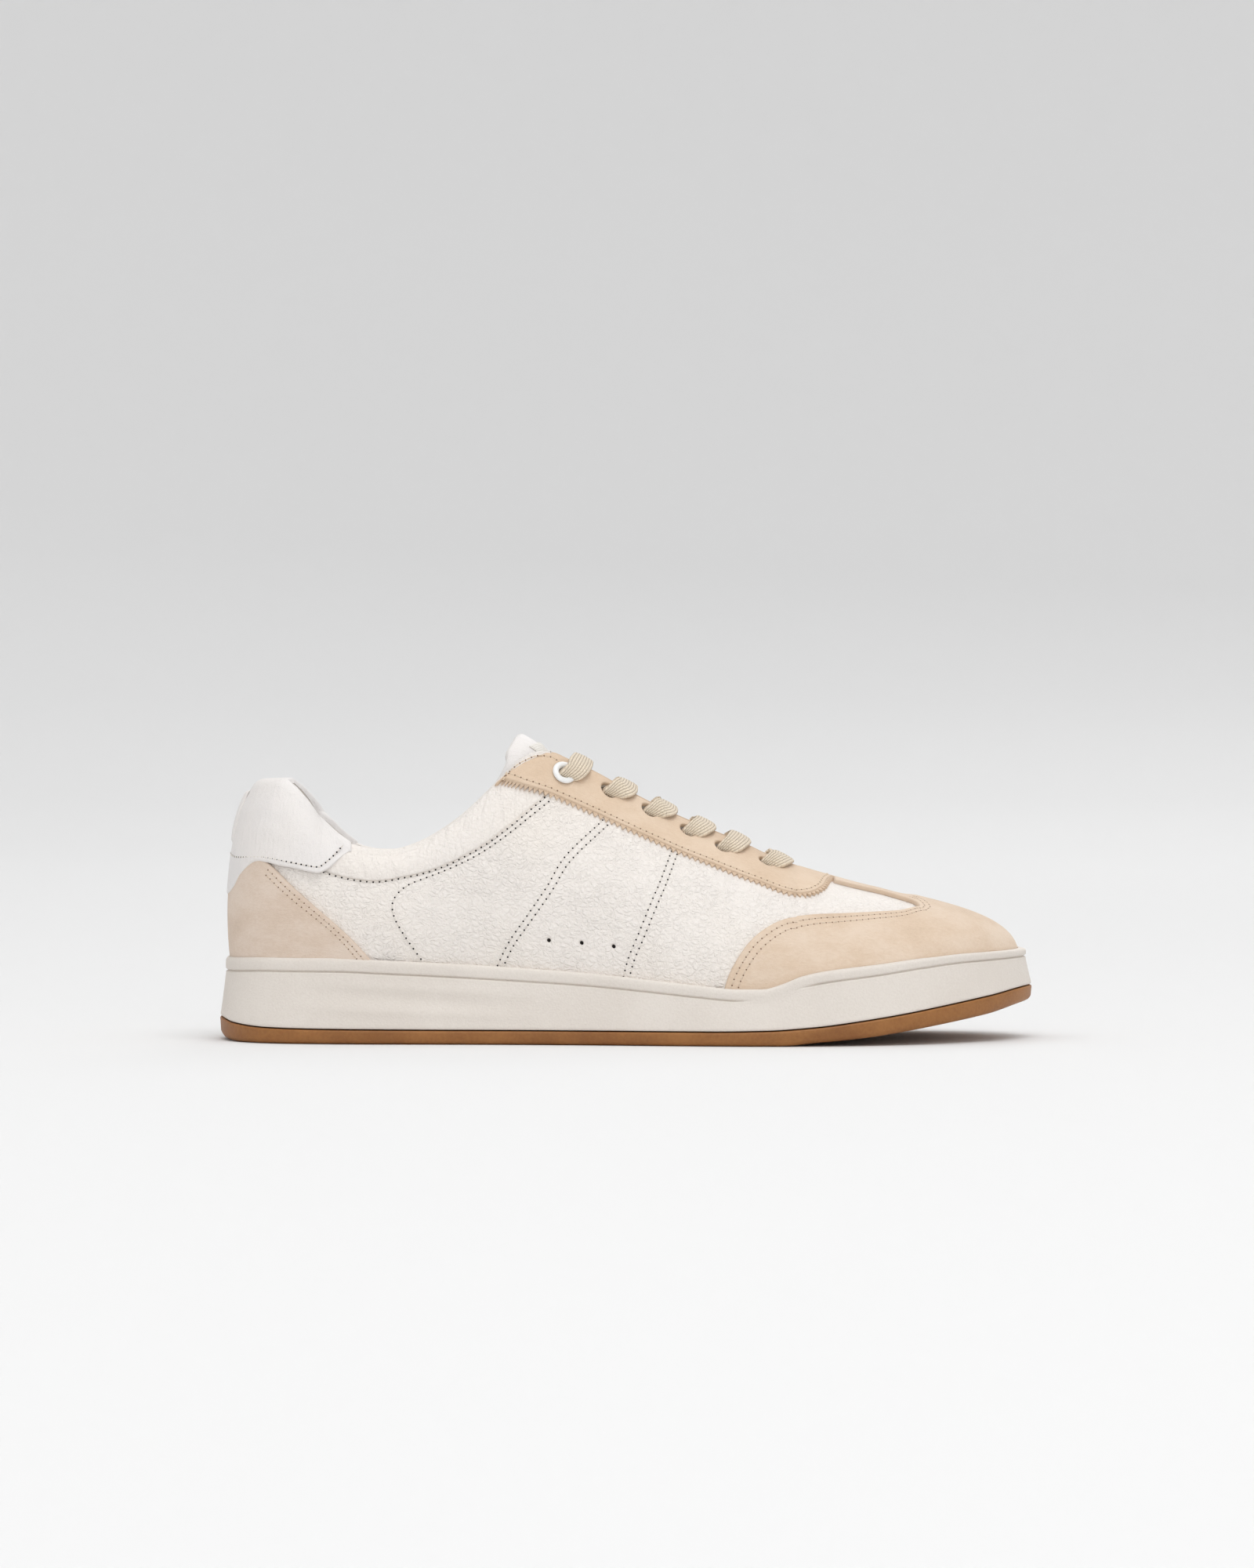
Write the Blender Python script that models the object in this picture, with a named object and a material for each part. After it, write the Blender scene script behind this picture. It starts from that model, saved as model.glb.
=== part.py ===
"""Court shoe, right foot: cupsole, leather and suede upper, padded collar, sprung tongue, one flat lace.

Frame: +X towards the toe, +Y towards the inner (big toe) side, +Z up. The origin is on the ground
at the middle of the shoe. The lengths below are millimetres, with X counted from the heel's rear edge.
"""

import math

import bmesh
import bpy
import numpy as np
from mathutils import Matrix, Vector
from mathutils.geometry import delaunay_2d_cdt

for old in list(bpy.data.objects):
    bpy.data.objects.remove(old, do_unlink=True)

# ---------------------------------------------------------------- driving dimensions (mm)
MM = 0.001
LENGTH = 300.0
MIDDLE = (149.78, 0.025, 0.0)   # the middle of the shoe on the ground, from the heel's rear edge
LATERAL, MEDIAL = -1.0, 1.0
GAP = 0.45                    # clearance between pieces that touch on the real shoe
LEATHER = 1.2                 # thickness of quarters, vamp and collar panels
SUEDE = 1.2                   # thickness of the overlays
LINING = 0.9
STIFFENER = 0.9
SHELL = LEATHER + GAP + STIFFENER + GAP + LINING   # wall thickness away from the padding
CELL = 9.0                    # mesh cell on the upper

HEEL_X, HEEL_R = 38.0, 36.0   # the heel is swept round a vertical axis at this X
TOE_X, TOE_R = 256.0, 40.0    # and the toe round one at this X
BACK = HEEL_R * math.pi / 2   # girth from the heel's back to the side
FRONT = TOE_R * math.pi / 2
SHIFT = BACK - HEEL_X         # girth = X + SHIFT along the straight sides
TOE_U = TOE_X + SHIFT
TOTAL = TOE_U + FRONT         # girth from the heel's back to the toe's tip
UNROLL = 75.0                 # mm that stand for the way from feather edge to ridge in the flat patterns

# Plan outline of the sole at its widest level, heel centre first, round the outer side.
SOLE_PLAN = [
    (0, 0), (3.6, -17), (13.5, -29.5), (34, -37.5), (65, -40), (100, -41.5), (135, -45),
    (170, -50.5), (200, -53.4), (225, -52), (250, -45.5), (271, -34), (287, -19.5), (296.5, -4.5),
    (300, 9), (297.5, 21), (290, 32), (276, 42), (255, 49.5), (230, 53.2), (203, 52.6),
    (172, 46.5), (138, 40), (105, 36.8), (65, 36.8), (34, 36.2), (13.5, 28.8), (3.6, 17),
]
FEATHER = 7.0                 # the upper's base lies this far inside the widest sole line
TOE_TIP_Y = 9.0

# Heights along the sole: (X, Z)
GROUND_LINE = [(0, 1.6), (3, 0.6), (9, 0), (205, 0), (218, 1.2), (234, 2.6), (250, 4.8), (266, 7.4),
               (282, 10.2), (300, 13.8)]
GUM_LINE = [(0, 8.4), (6, 6.8), (18, 5.6), (41, 5.2), (90, 5.0), (180, 5.0), (201, 5.4), (218, 6.6),
            (234, 8.6), (250, 11.0), (266, 13.8), (282, 16.6), (300, 19.4)]
LIP_LINE = [(0, 30.4), (18, 31.2), (41, 31.2), (65, 30.3), (88, 29.2), (111, 27.8), (134, 26.2),
            (158, 23.8), (177, 21.7), (190, 20.6), (199, 20.6), (206, 22.4), (212, 24.8), (220, 26.6),
            (242, 29.2), (258, 31.2), (275, 32.6), (300, 33.0)]
FOOTBED_LINE = [(0, 19), (60, 19), (105, 18), (155, 15), (181, 13.5), (207, 13.5), (225, 15), (250, 18.5),
                (270, 22), (285, 25), (300, 27)]
GROOVE_LINE = [(0, 1), (170, 1), (193, 0.1), (212, 0.1), (222, 1), (300, 1)]

# The upper's section is a cubic Bezier from the feather edge to the topline, by girth from the heel's back.
EDGE_Z = [(0, 92.3), (32, 92.3), (41, 89.8), (50, 84.9), (58.5, 77.6), (65, 71.7), (69.5, 69.2),
          (77, 67.9), (83, 67.9), (91.5, 70.3), (100, 74.9), (108.6, 81.4), (117, 89.7), (123.5, 96.8),
          (130.5, 103.0), (136.5, 105.2), (140.5, 105), (145, 103.1), (156.5, 97.5), (171, 89.1),
          (184.5, 82.2), (199, 75.8), (210.5, 71.0), (224.5, 64.4), (233.5, 61.6), (243.5, 58.7),
          (251.5, 56.4), (260, 54.3), (274.5, 51.3), (TOTAL, 51.3)]
MEDIAL_DROP = [(0, 0), (56, 0), (72, 1.4), (95, 1.8), (112, 1.5), (124, 0.9), (138, 0), (TOTAL, 0)]
EDGE_R = [(0, 24.8), (56.5, 25.5), (68, 28.6), (82, 29.5), (99, 28), (116.5, 24.6), (123.5, 22.4),
          (130.5, 19.6), (136.5, 17.2), (145, 14.4), (156.5, 12.6), (171, 11.6), (184.5, 10.6),
          (199, 9.6), (210.5, 8.6), (218.5, 7.4), (223, 6.2), (226.5, 4.4), (229, 2), (230, 0),
          (TOTAL, 0)]
SHOULDER_OUT = [(0, 8.2), (56.5, 7.6), (68, 6.5), (99, 8), (116.5, 10.4), (136.5, 14), (156.5, 16.4),
                (171, 18), (184.5, 19), (199, 21), (210.5, 23), (224.5, 26), (232, 29), (251.5, 27),
                (TOE_U, 25), (TOTAL, 22)]
SHOULDER_DROP = [(0, 14.3), (56.5, 14), (99, 15), (116.5, 18.4), (136.5, 21), (156.5, 15.5), (171, 11),
                 (184.5, 9), (199, 7), (210.5, 4.8), (224.5, 1.6), (232, 0), (TOTAL, 0)]
BULGE = [(0, 5.5), (116.5, 5.5), (199, 5), (TOE_U, 4.5), (TOTAL, 4)]
BULGE_Z = [(0, 45), (56.5, 42), (76, 38), (99, 40), (116.5, 46), (136.5, 49), (156.5, 45), (171, 42),
           (184.5, 38.5), (199, 36), (210.5, 34), (232, 33.5), (251.5, 36), (TOE_U, 38), (TOTAL, 40)]
CREST_SLOPE = 0.22            # fall of the vamp's crest towards the toe
ROLL = [(0, 4.3), (100, 4.3), (116, 3.2), (128, 1.9), (TOTAL, 1.9)]   # radius of the collar's rolled top


# ---------------------------------------------------------------- curves
def smooth_line(knots):
    """A monotone cubic through (x, y) knots, flat beyond its ends."""
    x, y = np.array(knots, float).T
    step = np.diff(x)
    slope = np.diff(y) / step
    tangent = np.zeros_like(x)
    w1, w2 = 2 * step[1:] + step[:-1], step[1:] + 2 * step[:-1]
    product = slope[:-1] * slope[1:]
    safe = np.where(product > 0, product, 1)
    mean = (w1 + w2) * safe / (w1 * slope[1:] + w2 * slope[:-1] + (product <= 0))
    tangent[1:-1] = np.where(product > 0, mean, 0)

    def at(value):
        value = np.clip(np.asarray(value, float), x[0], x[-1])
        i = np.clip(np.searchsorted(x, value) - 1, 0, len(step) - 1)
        h, s = step[i], (value - x[i]) / step[i]
        return (y[i] * (1 + 2 * s) * (1 - s) ** 2 + tangent[i] * h * s * (1 - s) ** 2
                + y[i + 1] * s * s * (3 - 2 * s) + tangent[i + 1] * h * s * s * (s - 1))
    return at


def closed_curve(points, count):
    """count points along the C2 periodic cubic spline through points."""
    p = np.array(points, float)
    n = len(p)
    chord = np.linalg.norm(np.roll(p, -1, 0) - p, axis=1)
    knots = np.concatenate([[0], np.cumsum(chord)])
    system, right = np.zeros((n, n)), np.zeros_like(p)
    for i in range(n):
        j = (i + 1) % n
        system[i, i - 1] += chord[i - 1]
        system[i, i] += 2 * (chord[i - 1] + chord[i])
        system[i, j] += chord[i]
        right[i] = 6 * ((p[j] - p[i]) / chord[i] - (p[i] - p[i - 1]) / chord[i - 1])
    bend = np.linalg.solve(system, right)
    at = np.linspace(0, knots[-1], count, endpoint=False)
    i = np.clip(np.searchsorted(knots, at, side="right") - 1, 0, n - 1)
    j, h = (i + 1) % n, chord[i][:, None]
    b = (at - knots[i])[:, None] / h
    a = 1 - b
    return a * p[i] + b * p[j] + ((a ** 3 - a) * bend[i] + (b ** 3 - b) * bend[j]) * h * h / 6


ground_z, gum_z, lip_z, footbed_z, groove_on = (
    smooth_line(k) for k in (GROUND_LINE, GUM_LINE, LIP_LINE, FOOTBED_LINE, GROOVE_LINE))
edge_z, edge_r, medial_drop, shoulder_out, shoulder_drop, bulge_out, bulge_z, roll_r = (
    smooth_line(k)
    for k in (EDGE_Z, EDGE_R, MEDIAL_DROP, SHOULDER_OUT, SHOULDER_DROP, BULGE, BULGE_Z, ROLL))
SOLE_CURVE = closed_curve(SOLE_PLAN, 1600)
INSET_CURVES = {}


def centre_y(x):
    """Y of the upper's ridge, which swings towards the big toe."""
    return TOE_TIP_Y * np.clip((np.minimum(x, TOE_X) - 150) / 145, 0, 1) ** 2


def reach(u, side, inset):
    """Distance from the section's axis out to the sole line moved in by inset, for girths u."""
    if inset not in INSET_CURVES:
        along = np.roll(SOLE_CURVE, -1, 0) - np.roll(SOLE_CURVE, 1, 0)
        along /= np.linalg.norm(along, axis=1)[:, None]
        INSET_CURVES[inset] = SOLE_CURVE + np.stack([-along[:, 1], along[:, 0]], 1) * inset
    x, y = INSET_CURVES[inset].T
    out = side * (y - centre_y(x))
    u = np.asarray(u, float)
    straight = (out > 0) & (x > 15) & (x < 285)
    order = np.argsort(x[straight])
    ahead = np.interp(u - SHIFT, x[straight][order], out[straight][order])
    rear = (x < 60) & (out > -9)
    angle = np.arctan2(HEEL_X - x[rear], out[rear])
    order = np.argsort(angle)
    behind = np.interp((BACK - u) / HEEL_R, angle[order], np.hypot(HEEL_X - x[rear], out[rear])[order])
    fore = (x > 235) & (out > -9)
    angle = np.arctan2(x[fore] - TOE_X, out[fore])
    order = np.argsort(angle)
    round_toe = np.interp((u - TOE_U) / TOE_R, angle[order], np.hypot(x[fore] - TOE_X, out[fore])[order])
    return np.where(u < BACK, behind, np.where(u > TOE_U, round_toe, ahead))


def station(u, side, r, z):
    """The point at distance r from the section's axis and height z, on the section at girth u."""
    heel_turn = np.clip((BACK - u) / HEEL_R, 0, None)
    toe_turn = np.clip((u - TOE_U) / TOE_R, 0, None)
    x = np.clip(u - SHIFT, HEEL_X, TOE_X) - r * np.sin(heel_turn) + r * np.sin(toe_turn)
    y = centre_y(np.clip(u - SHIFT, HEEL_X, TOE_X)) + side * r * np.cos(heel_turn) * np.cos(toe_turn)
    return np.stack(np.broadcast_arrays(x, y, z), -1)


def raw_upper(u, t, side):
    """The outside face of the white leather. t is 0 at the feather edge and 1 at the topline."""
    side = np.where(u < 0, -side, side)
    u = np.abs(u)
    side = np.where(u > TOTAL, -side, side)
    u = np.where(u > TOTAL, 2 * TOTAL - u, u)
    side = np.where(t > 1, -side, side)
    t = np.where(t > 1, 2 - t, t)
    base = np.where(side < 0, reach(u, LATERAL, FEATHER), reach(u, MEDIAL, FEATHER))
    outer = reach(u, LATERAL, FEATHER)
    low = footbed_z(station(u, side, base, 0.0)[..., 0])
    shoulder = edge_r(u) + shoulder_out(u) * base / outer
    tilt = CREST_SLOPE * np.sin(np.clip((u - TOE_U) / TOE_R, 0, None)) * shoulder * 1.1
    edge = edge_z(u) - np.where(side > 0, medial_drop(u), 0)
    r = ((1 - t) ** 3 * base + 3 * t * (1 - t) ** 2 * (base + bulge_out(u))
         + 3 * t * t * (1 - t) * shoulder + t ** 3 * edge_r(u))
    z = ((1 - t) ** 3 * low + 3 * t * (1 - t) ** 2 * bulge_z(u)
         + 3 * t * t * (1 - t) * (edge - shoulder_drop(u) - tilt) + t ** 3 * edge)
    return station(u, side, r, z)


def upper_frame(u, t, side):
    """Point, outward normal and upward tangent of the base surface."""
    u, t, side = (a.astype(float) for a in np.broadcast_arrays(u, t, side))
    at = np.clip(t, 0.004, np.where(u > BACK + 190, 0.985, 0.996))
    point = raw_upper(u, t, side)
    along = raw_upper(u + 0.5, at, side) - raw_upper(u - 0.5, at, side)
    up = raw_upper(u, at + 0.004, side) - raw_upper(u, at - 0.004, side)
    normal = np.cross(along, up) * -side[..., None]
    normal /= np.maximum(np.linalg.norm(normal, axis=-1, keepdims=True), 1e-9)
    up /= np.maximum(np.linalg.norm(up, axis=-1, keepdims=True), 1e-9)
    return point, normal, up


def smooth_step(value):
    value = np.clip(value, 0, 1)
    return value * value * (3 - 2 * value)


def wall(u, t):
    """Thickness of the whole wall: thin below, as thick as the collar's roll at the topline."""
    return SHELL + (2 * roll_r(u) - SHELL) * smooth_step((t - 0.45) / 0.5)


def skin(u, w, side, depth):
    """A point depth mm below the shoe's skin. w runs 0 to 1 up the outside, 1 to 2 over the rolled top
    and 2 to 3 down the inside."""
    u, w, side, depth = (a.astype(float) for a in np.broadcast_arrays(u, w, side, depth))
    t = np.where(w <= 1, w, np.where(w < 2, 1.0, 3 - w))
    point, normal, up = upper_frame(u, t, side)
    radius = roll_r(np.abs(u))
    turn = math.pi * np.clip(w - 1, 0, 1)
    over = radius + (radius - depth) * -np.cos(turn)
    rise = (radius - depth) * np.sin(turn)
    inner = wall(np.abs(u), t) - depth
    back = np.where(w <= 1, depth, np.where(w < 2, over, inner))
    rise = np.where((w > 1) & (w < 2), rise, 0)
    return point - normal * back[..., None] + up * rise[..., None]


def rise_at(u, z):
    """The t at which the base surface is z high at girth u."""
    t = np.linspace(0, 1, 241)
    u, z = (np.atleast_1d(a).astype(float) for a in np.broadcast_arrays(u, z))
    high = raw_upper(u[:, None], t[None, :], np.full((len(u), 1), LATERAL))[..., 2]
    high = np.maximum.accumulate(high + t * 1e-4, axis=1)
    return np.array([np.interp(want, row, t) for want, row in zip(z, high)])


# ---------------------------------------------------------------- flat patterns and meshes
def top_map(a, b):
    """The upper laid flat: a is X (or girth less SHIFT), b is the way down from the edge or crest."""
    ahead = np.maximum(a - TOE_X, 0)
    down = np.hypot(ahead, b)
    turn = np.arctan2(ahead, np.abs(b) + 1e-9)
    u = np.where(a <= TOE_X, a + SHIFT, TOE_U + turn * TOE_R)
    return u, 1 - down / UNROLL, np.where(b < 0, LATERAL, MEDIAL)


def to_top(points, side):
    """Side-view points (girth, z) as a pattern laid flat from above."""
    u, z = np.array(points, float).T
    down = (1 - rise_at(u, z)) * UNROLL
    turn = np.clip((u - TOE_U) / TOE_R, 0, None)
    x = np.minimum(u - SHIFT, TOE_X) + down * np.sin(turn)
    return np.stack([x, side * down * np.cos(turn)], 1)


def resample(loop, step, closed=True):
    """The polyline with every leg cut into pieces no longer than step."""
    loop = np.asarray(loop, float)
    ends = np.roll(loop, -1, 0) if closed else loop[1:]
    parts = []
    for a, b in zip(loop, ends):
        count = max(1, math.ceil(np.linalg.norm(b - a) / step))
        parts.append(a + (b - a) * (np.arange(count) / count)[:, None])
    if not closed:
        parts.append(loop[-1:])
    return np.vstack(parts)


def inside(points, loop):
    """Even-odd test of points against a closed loop."""
    a, b = loop, np.roll(loop, -1, 0)
    x, y = points[:, None, 0], points[:, None, 1]
    crosses = (a[:, 1] > y) != (b[:, 1] > y)
    rise = np.where(b[:, 1] == a[:, 1], 1e-12, b[:, 1] - a[:, 1])
    at = a[:, 0] + (y - a[:, 1]) / rise * (b[:, 0] - a[:, 0])
    return (crosses & (x < at)).sum(1) % 2 == 1


def distance_to(points, loop):
    a, b = loop, np.roll(loop, -1, 0)
    leg = b - a
    share = ((points[:, None] - a) * leg).sum(-1) / np.maximum((leg ** 2).sum(-1), 1e-12)
    near = a + leg * np.clip(share, 0, 1)[..., None]
    return np.linalg.norm(points[:, None] - near, axis=-1).min(1)


def triangles_of(loops, cell):
    """Fill the first loop, less the others, with triangles about one cell across."""
    low, high = loops[0].min(0), loops[0].max(0)
    xs = np.arange(math.floor(low[0] / cell), math.ceil(high[0] / cell) + 1) * cell
    ys = np.arange(math.floor(low[1] / cell), math.ceil(high[1] / cell) + 1) * cell
    grid = np.stack(np.meshgrid(xs, ys, indexing="ij"), -1).reshape(-1, 2)
    keep = inside(grid, loops[0])
    for n, loop in enumerate(loops):
        keep &= distance_to(grid, loop) > cell * (0.42 if n == 0 else 0.5)
        if n:
            keep &= ~inside(grid, loop)
    grid = grid[keep]
    points = np.vstack(loops + [grid])
    edges, start = [], 0
    for loop in loops:
        edges += [(start + i, start + (i + 1) % len(loop)) for i in range(len(loop))]
        start += len(loop)
    made = delaunay_2d_cdt([Vector(p) for p in points], edges, [], 0, 1e-5)
    flat = np.array([tuple(v) for v in made[0]])
    faces = np.array([f for f in made[2]])
    middle = flat[faces].mean(1)
    good = inside(middle, loops[0])
    for loop in loops[1:]:
        good &= ~inside(middle, loop)
    return flat, faces[good]


def mesh_object(name, points, faces, material, smooth=50):
    """An object from mm points, with its faces turned outwards."""
    mesh = bpy.data.meshes.new(name)
    place = (np.asarray(points, float) - MIDDLE) * MM
    mesh.from_pydata(place.tolist(), [], [tuple(int(i) for i in f) for f in faces])
    work = bmesh.new()
    work.from_mesh(mesh)
    bmesh.ops.recalc_face_normals(work, faces=work.faces)
    work.to_mesh(mesh)
    work.free()
    mesh.materials.append(material)
    made = bpy.data.objects.new(name, mesh)
    bpy.context.scene.collection.objects.link(made)
    mesh.polygons.foreach_set("use_smooth", [True] * len(mesh.polygons))
    mesh.set_sharp_from_angle(angle=math.radians(smooth))
    return made


def material(name, colour, roughness, metallic=0.0):
    made = bpy.data.materials.new(name)
    made.use_nodes = True
    shader = made.node_tree.nodes["Principled BSDF"]
    shader.inputs["Base Color"].default_value = (*colour, 1)
    shader.inputs["Roughness"].default_value = roughness
    shader.inputs["Metallic"].default_value = metallic
    made.diffuse_color = (*colour, 1)
    return made


def sheet_faces(flat, faces):
    """Both faces of a sheet and the wall round every open edge."""
    count = len(flat)
    legs = np.vstack([faces[:, [0, 1]], faces[:, [1, 2]], faces[:, [2, 0]]])
    keys = np.sort(legs, 1) @ np.array([count, 1])
    _, first, used = np.unique(keys, return_index=True, return_counts=True)
    rim = legs[first[used == 1]]
    made = [tuple(f) for f in faces] + [tuple(f[::-1] + count) for f in faces]
    return made + [(b, a, a + count, b + count) for a, b in rim]


def panel(name, loops, top, bottom, paint, cell=CELL):
    """A sheet cut to flat loops and laid between two depths below the skin."""
    loops = [np.asarray(loop, float) for loop in loops]
    flat, faces = triangles_of(loops, cell)
    u, w, side = top_map(flat[:, 0], flat[:, 1])
    outer, inner = skin(u, w, side, top), skin(u, w, side, bottom)
    return mesh_object(name, np.vstack([outer, inner]), sheet_faces(flat, faces), paint)


def hole_loop(u, w, side, radius, corners=8):
    """A round hole of the given radius as a loop in the flat pattern."""
    here = raw_upper(np.array([u]), np.array([w]), np.array([side]))
    along = np.linalg.norm(raw_upper(np.array([u + 1]), np.array([w]), np.array([side])) - here)
    up = np.linalg.norm(raw_upper(np.array([u]), np.array([w + 0.01]), np.array([side])) - here) * 100
    turn = np.arange(corners) / corners * 2 * math.pi
    down = (1 - w - radius / up * np.sin(turn)) * UNROLL
    return np.stack([u + radius / along * np.cos(turn) - SHIFT, side * down], 1)


def swept(name, sections, paint, closed_run=False):
    """A solid through equal closed sections. Point k faces point -1-k, which closes the ends."""
    sections = np.asarray(sections, float)
    rows, cols = sections.shape[:2]
    points = sections.reshape(-1, 3)
    faces = []
    for i in range(rows if closed_run else rows - 1):
        j = (i + 1) % rows
        for k in range(cols):
            m = (k + 1) % cols
            faces.append((i * cols + k, j * cols + k, j * cols + m, i * cols + m))
    if not closed_run:
        last = (rows - 1) * cols
        for k in range(cols // 2 - 1):
            cap = [k, k + 1, cols - 2 - k, cols - 1 - k]
            faces += [cap, [last + n for n in cap[::-1]]]
        if cols % 2:
            tip = [cols // 2 - 1, cols // 2, cols // 2 + 1]
            faces += [tip, [last + n for n in tip[::-1]]]
    return mesh_object(name, points, faces, paint)


white_leather = material("white_leather", (0.82, 0.77, 0.72), 0.5)
smooth_leather = material("smooth_leather", (0.80, 0.75, 0.71), 0.42)
suede = material("suede", (0.70, 0.57, 0.44), 0.95)
suede_pale = material("suede_pale", (0.74, 0.61, 0.49), 0.95)
sole_rubber = material("sole_rubber", (0.76, 0.69, 0.62), 0.6)
gum_rubber = material("gum_rubber", (0.26, 0.12, 0.05), 0.55)
foam = material("foam", (0.75, 0.72, 0.62), 0.95)
board = material("board", (0.62, 0.55, 0.44), 0.9)
lining_cloth = material("lining_cloth", (0.70, 0.63, 0.54), 0.9)
brown_lining = material("brown_lining", (0.09, 0.05, 0.035), 0.8)
sock_cloth = material("sock_cloth", (0.66, 0.58, 0.48), 0.9)
stiff = material("stiffener", (0.55, 0.5, 0.42), 0.7)
lace_cotton = material("lace_cotton", (0.72, 0.61, 0.47), 0.9)
ring_white = material("ring_white", (0.88, 0.88, 0.87), 0.25)
tip_plastic = material("tip_plastic", (0.80, 0.74, 0.64), 0.2)
label_cloth = material("label_cloth", (0.85, 0.82, 0.77), 0.8)

# ---------------------------------------------------------------- sole unit
RING_U = np.concatenate([np.linspace(0, BACK, 6)[:-1], np.linspace(BACK, TOE_U, 16)[:-1],
                         np.linspace(TOE_U, TOTAL, 7)])
RING_SIDE = np.concatenate([np.full(len(RING_U), LATERAL), np.full(len(RING_U) - 2, MEDIAL)])
RING_U = np.concatenate([RING_U, RING_U[-2:0:-1]])


def ring(inset, height):
    """A closed ring on the sole line moved in by inset; height is a function of X or an array."""
    r = np.empty(len(RING_U))
    for side in (LATERAL, MEDIAL):
        here = RING_SIDE == side
        level = np.asarray(inset, float)
        r[here] = reach(RING_U[here], side, float(level.flat[0])) if level.size == 1 else 0
    if np.size(inset) > 1:
        deep = np.array([reach(u, side, 0.0) - amount for u, side, amount in zip(RING_U, RING_SIDE, inset)])
        r = deep
    flat = station(RING_U, RING_SIDE, r, 0.0)
    flat[:, 2] = height(flat[:, 0]) if callable(height) else height
    return flat


def ring_solid(name, rings, bottom_z, top_z, paint, cell=30.0):
    """Stacked rings closed by a floor and a roof whose inner points follow bottom_z and top_z."""
    count = len(rings[0])
    points, faces = list(np.vstack(rings)), []
    for i in range(len(rings) - 1):
        for k in range(count):
            m = (k + 1) % count
            faces.append((i * count + k, i * count + m, (i + 1) * count + m, (i + 1) * count + k))
    for rim, height, start in ((rings[0], bottom_z, 0), (rings[-1], top_z, (len(rings) - 1) * count)):
        flat, fill = triangles_of([rim[:, :2]], cell)
        extra = len(points) - count
        for p in flat[count:]:
            points.append(np.array([p[0], p[1], float(height(p[0]))]))
        index = np.arange(len(flat))
        index = np.where(index < count, index + start, index + extra)
        faces += [tuple(index[f]) for f in fill]
    return mesh_object(name, points, faces, paint, smooth=40)


def outsole():
    """Gum rubber bottom, 5 mm thick, flat from the heel to the ball and turned up at the toe."""
    rings = [ring(3.4, ground_z), ring(1.4, lambda x: ground_z(x) + 0.5), ring(0.4, lambda x: ground_z(x) + 2.0),
             ring(0.0, lambda x: gum_z(x) - 0.9), ring(0.3, gum_z)]
    return ring_solid("outsole", rings, ground_z, gum_z, gum_rubber)


def cup_wall(share):
    """Ring of the cup's inner face, from the footbed (share 0) to just under the lip (share 1)."""
    lip = lip_z(station(RING_U, RING_SIDE, 30.0, 0.0)[:, 0])
    over = smooth_step((88 - RING_U) / 5) + smooth_step((RING_U - 196) / 5)
    return skin(RING_U, rise_at(RING_U, lip - 0.3) * share, RING_SIDE, -GAP - 0.5 - (GAP + SUEDE) * over)


def cupsole():
    """White rubber cup: a 3 mm floor and a side wall that ends in a rounded lip above a shallow groove."""
    lip = ring(2.4, lip_z)[:, 2]
    level = [
        (0.8, lambda x: gum_z(x) + GAP),
        (0.25, lambda x: gum_z(x) + GAP + 0.8),
        (1.2, lambda x: gum_z(x) + 0.45 * (lip_z(x) - gum_z(x))),
        (2.2, lambda x: lip_z(x) - 5.9),
        (2.9, lambda x: lip_z(x) - 5.1),
        (2.3, lambda x: lip_z(x) - 4.3),
        (2.2, lambda x: lip_z(x) - 1.2),
        (2.7, lambda x: lip_z(x) - 0.3),
    ]
    rings = [ring(inset, height) for inset, height in level]
    on = groove_on(rings[4][:, 0])[:, None]
    rings[4] = rings[4] * on + (rings[3] + rings[5]) / 2 * (1 - on)
    top = cup_wall(1.0)
    crown = (rings[-1] + top) / 2
    crown[:, 2] = lip + 0.05
    rings += [crown, top, cup_wall(0.5), cup_wall(0.02)]
    floor_ring = cup_wall(0.02).copy()
    floor_ring[:, 2] = gum_z(floor_ring[:, 0]) + GAP + 3.0
    rings.append(floor_ring)
    return ring_solid("cupsole", rings, lambda x: gum_z(x) + GAP, lambda x: gum_z(x) + GAP + 3.0,
                      sole_rubber)


def inner_slab(name, clear, low, high, paint, edge=0.4):
    """A slab whose rim lies clear mm inside the upper's base line."""
    rings = [ring(FEATHER + clear, low), ring(FEATHER + clear, lambda x: high(x) - edge),
             ring(FEATHER + clear + edge, high)]
    rings = rings if edge > 0.3 else [rings[0], ring(FEATHER + clear, high)]
    return ring_solid(name, rings, low, high, paint)


outsole()
cupsole()
inner_slab("midsole", 0.2, lambda x: gum_z(x) + GAP * 2 + 3.0, lambda x: footbed_z(x) - 1.2 - GAP * 2,
           foam, 0.25)
inner_slab("strobel_board", SHELL + 0.9, lambda x: footbed_z(x) - 1.2, lambda x: footbed_z(x) - 0.1,
           board, 0.2)
inner_slab("sockliner", SHELL + 0.7, lambda x: footbed_z(x) + 0.25, lambda x: footbed_z(x) + 4.2,
           sock_cloth, 0.8)

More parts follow.
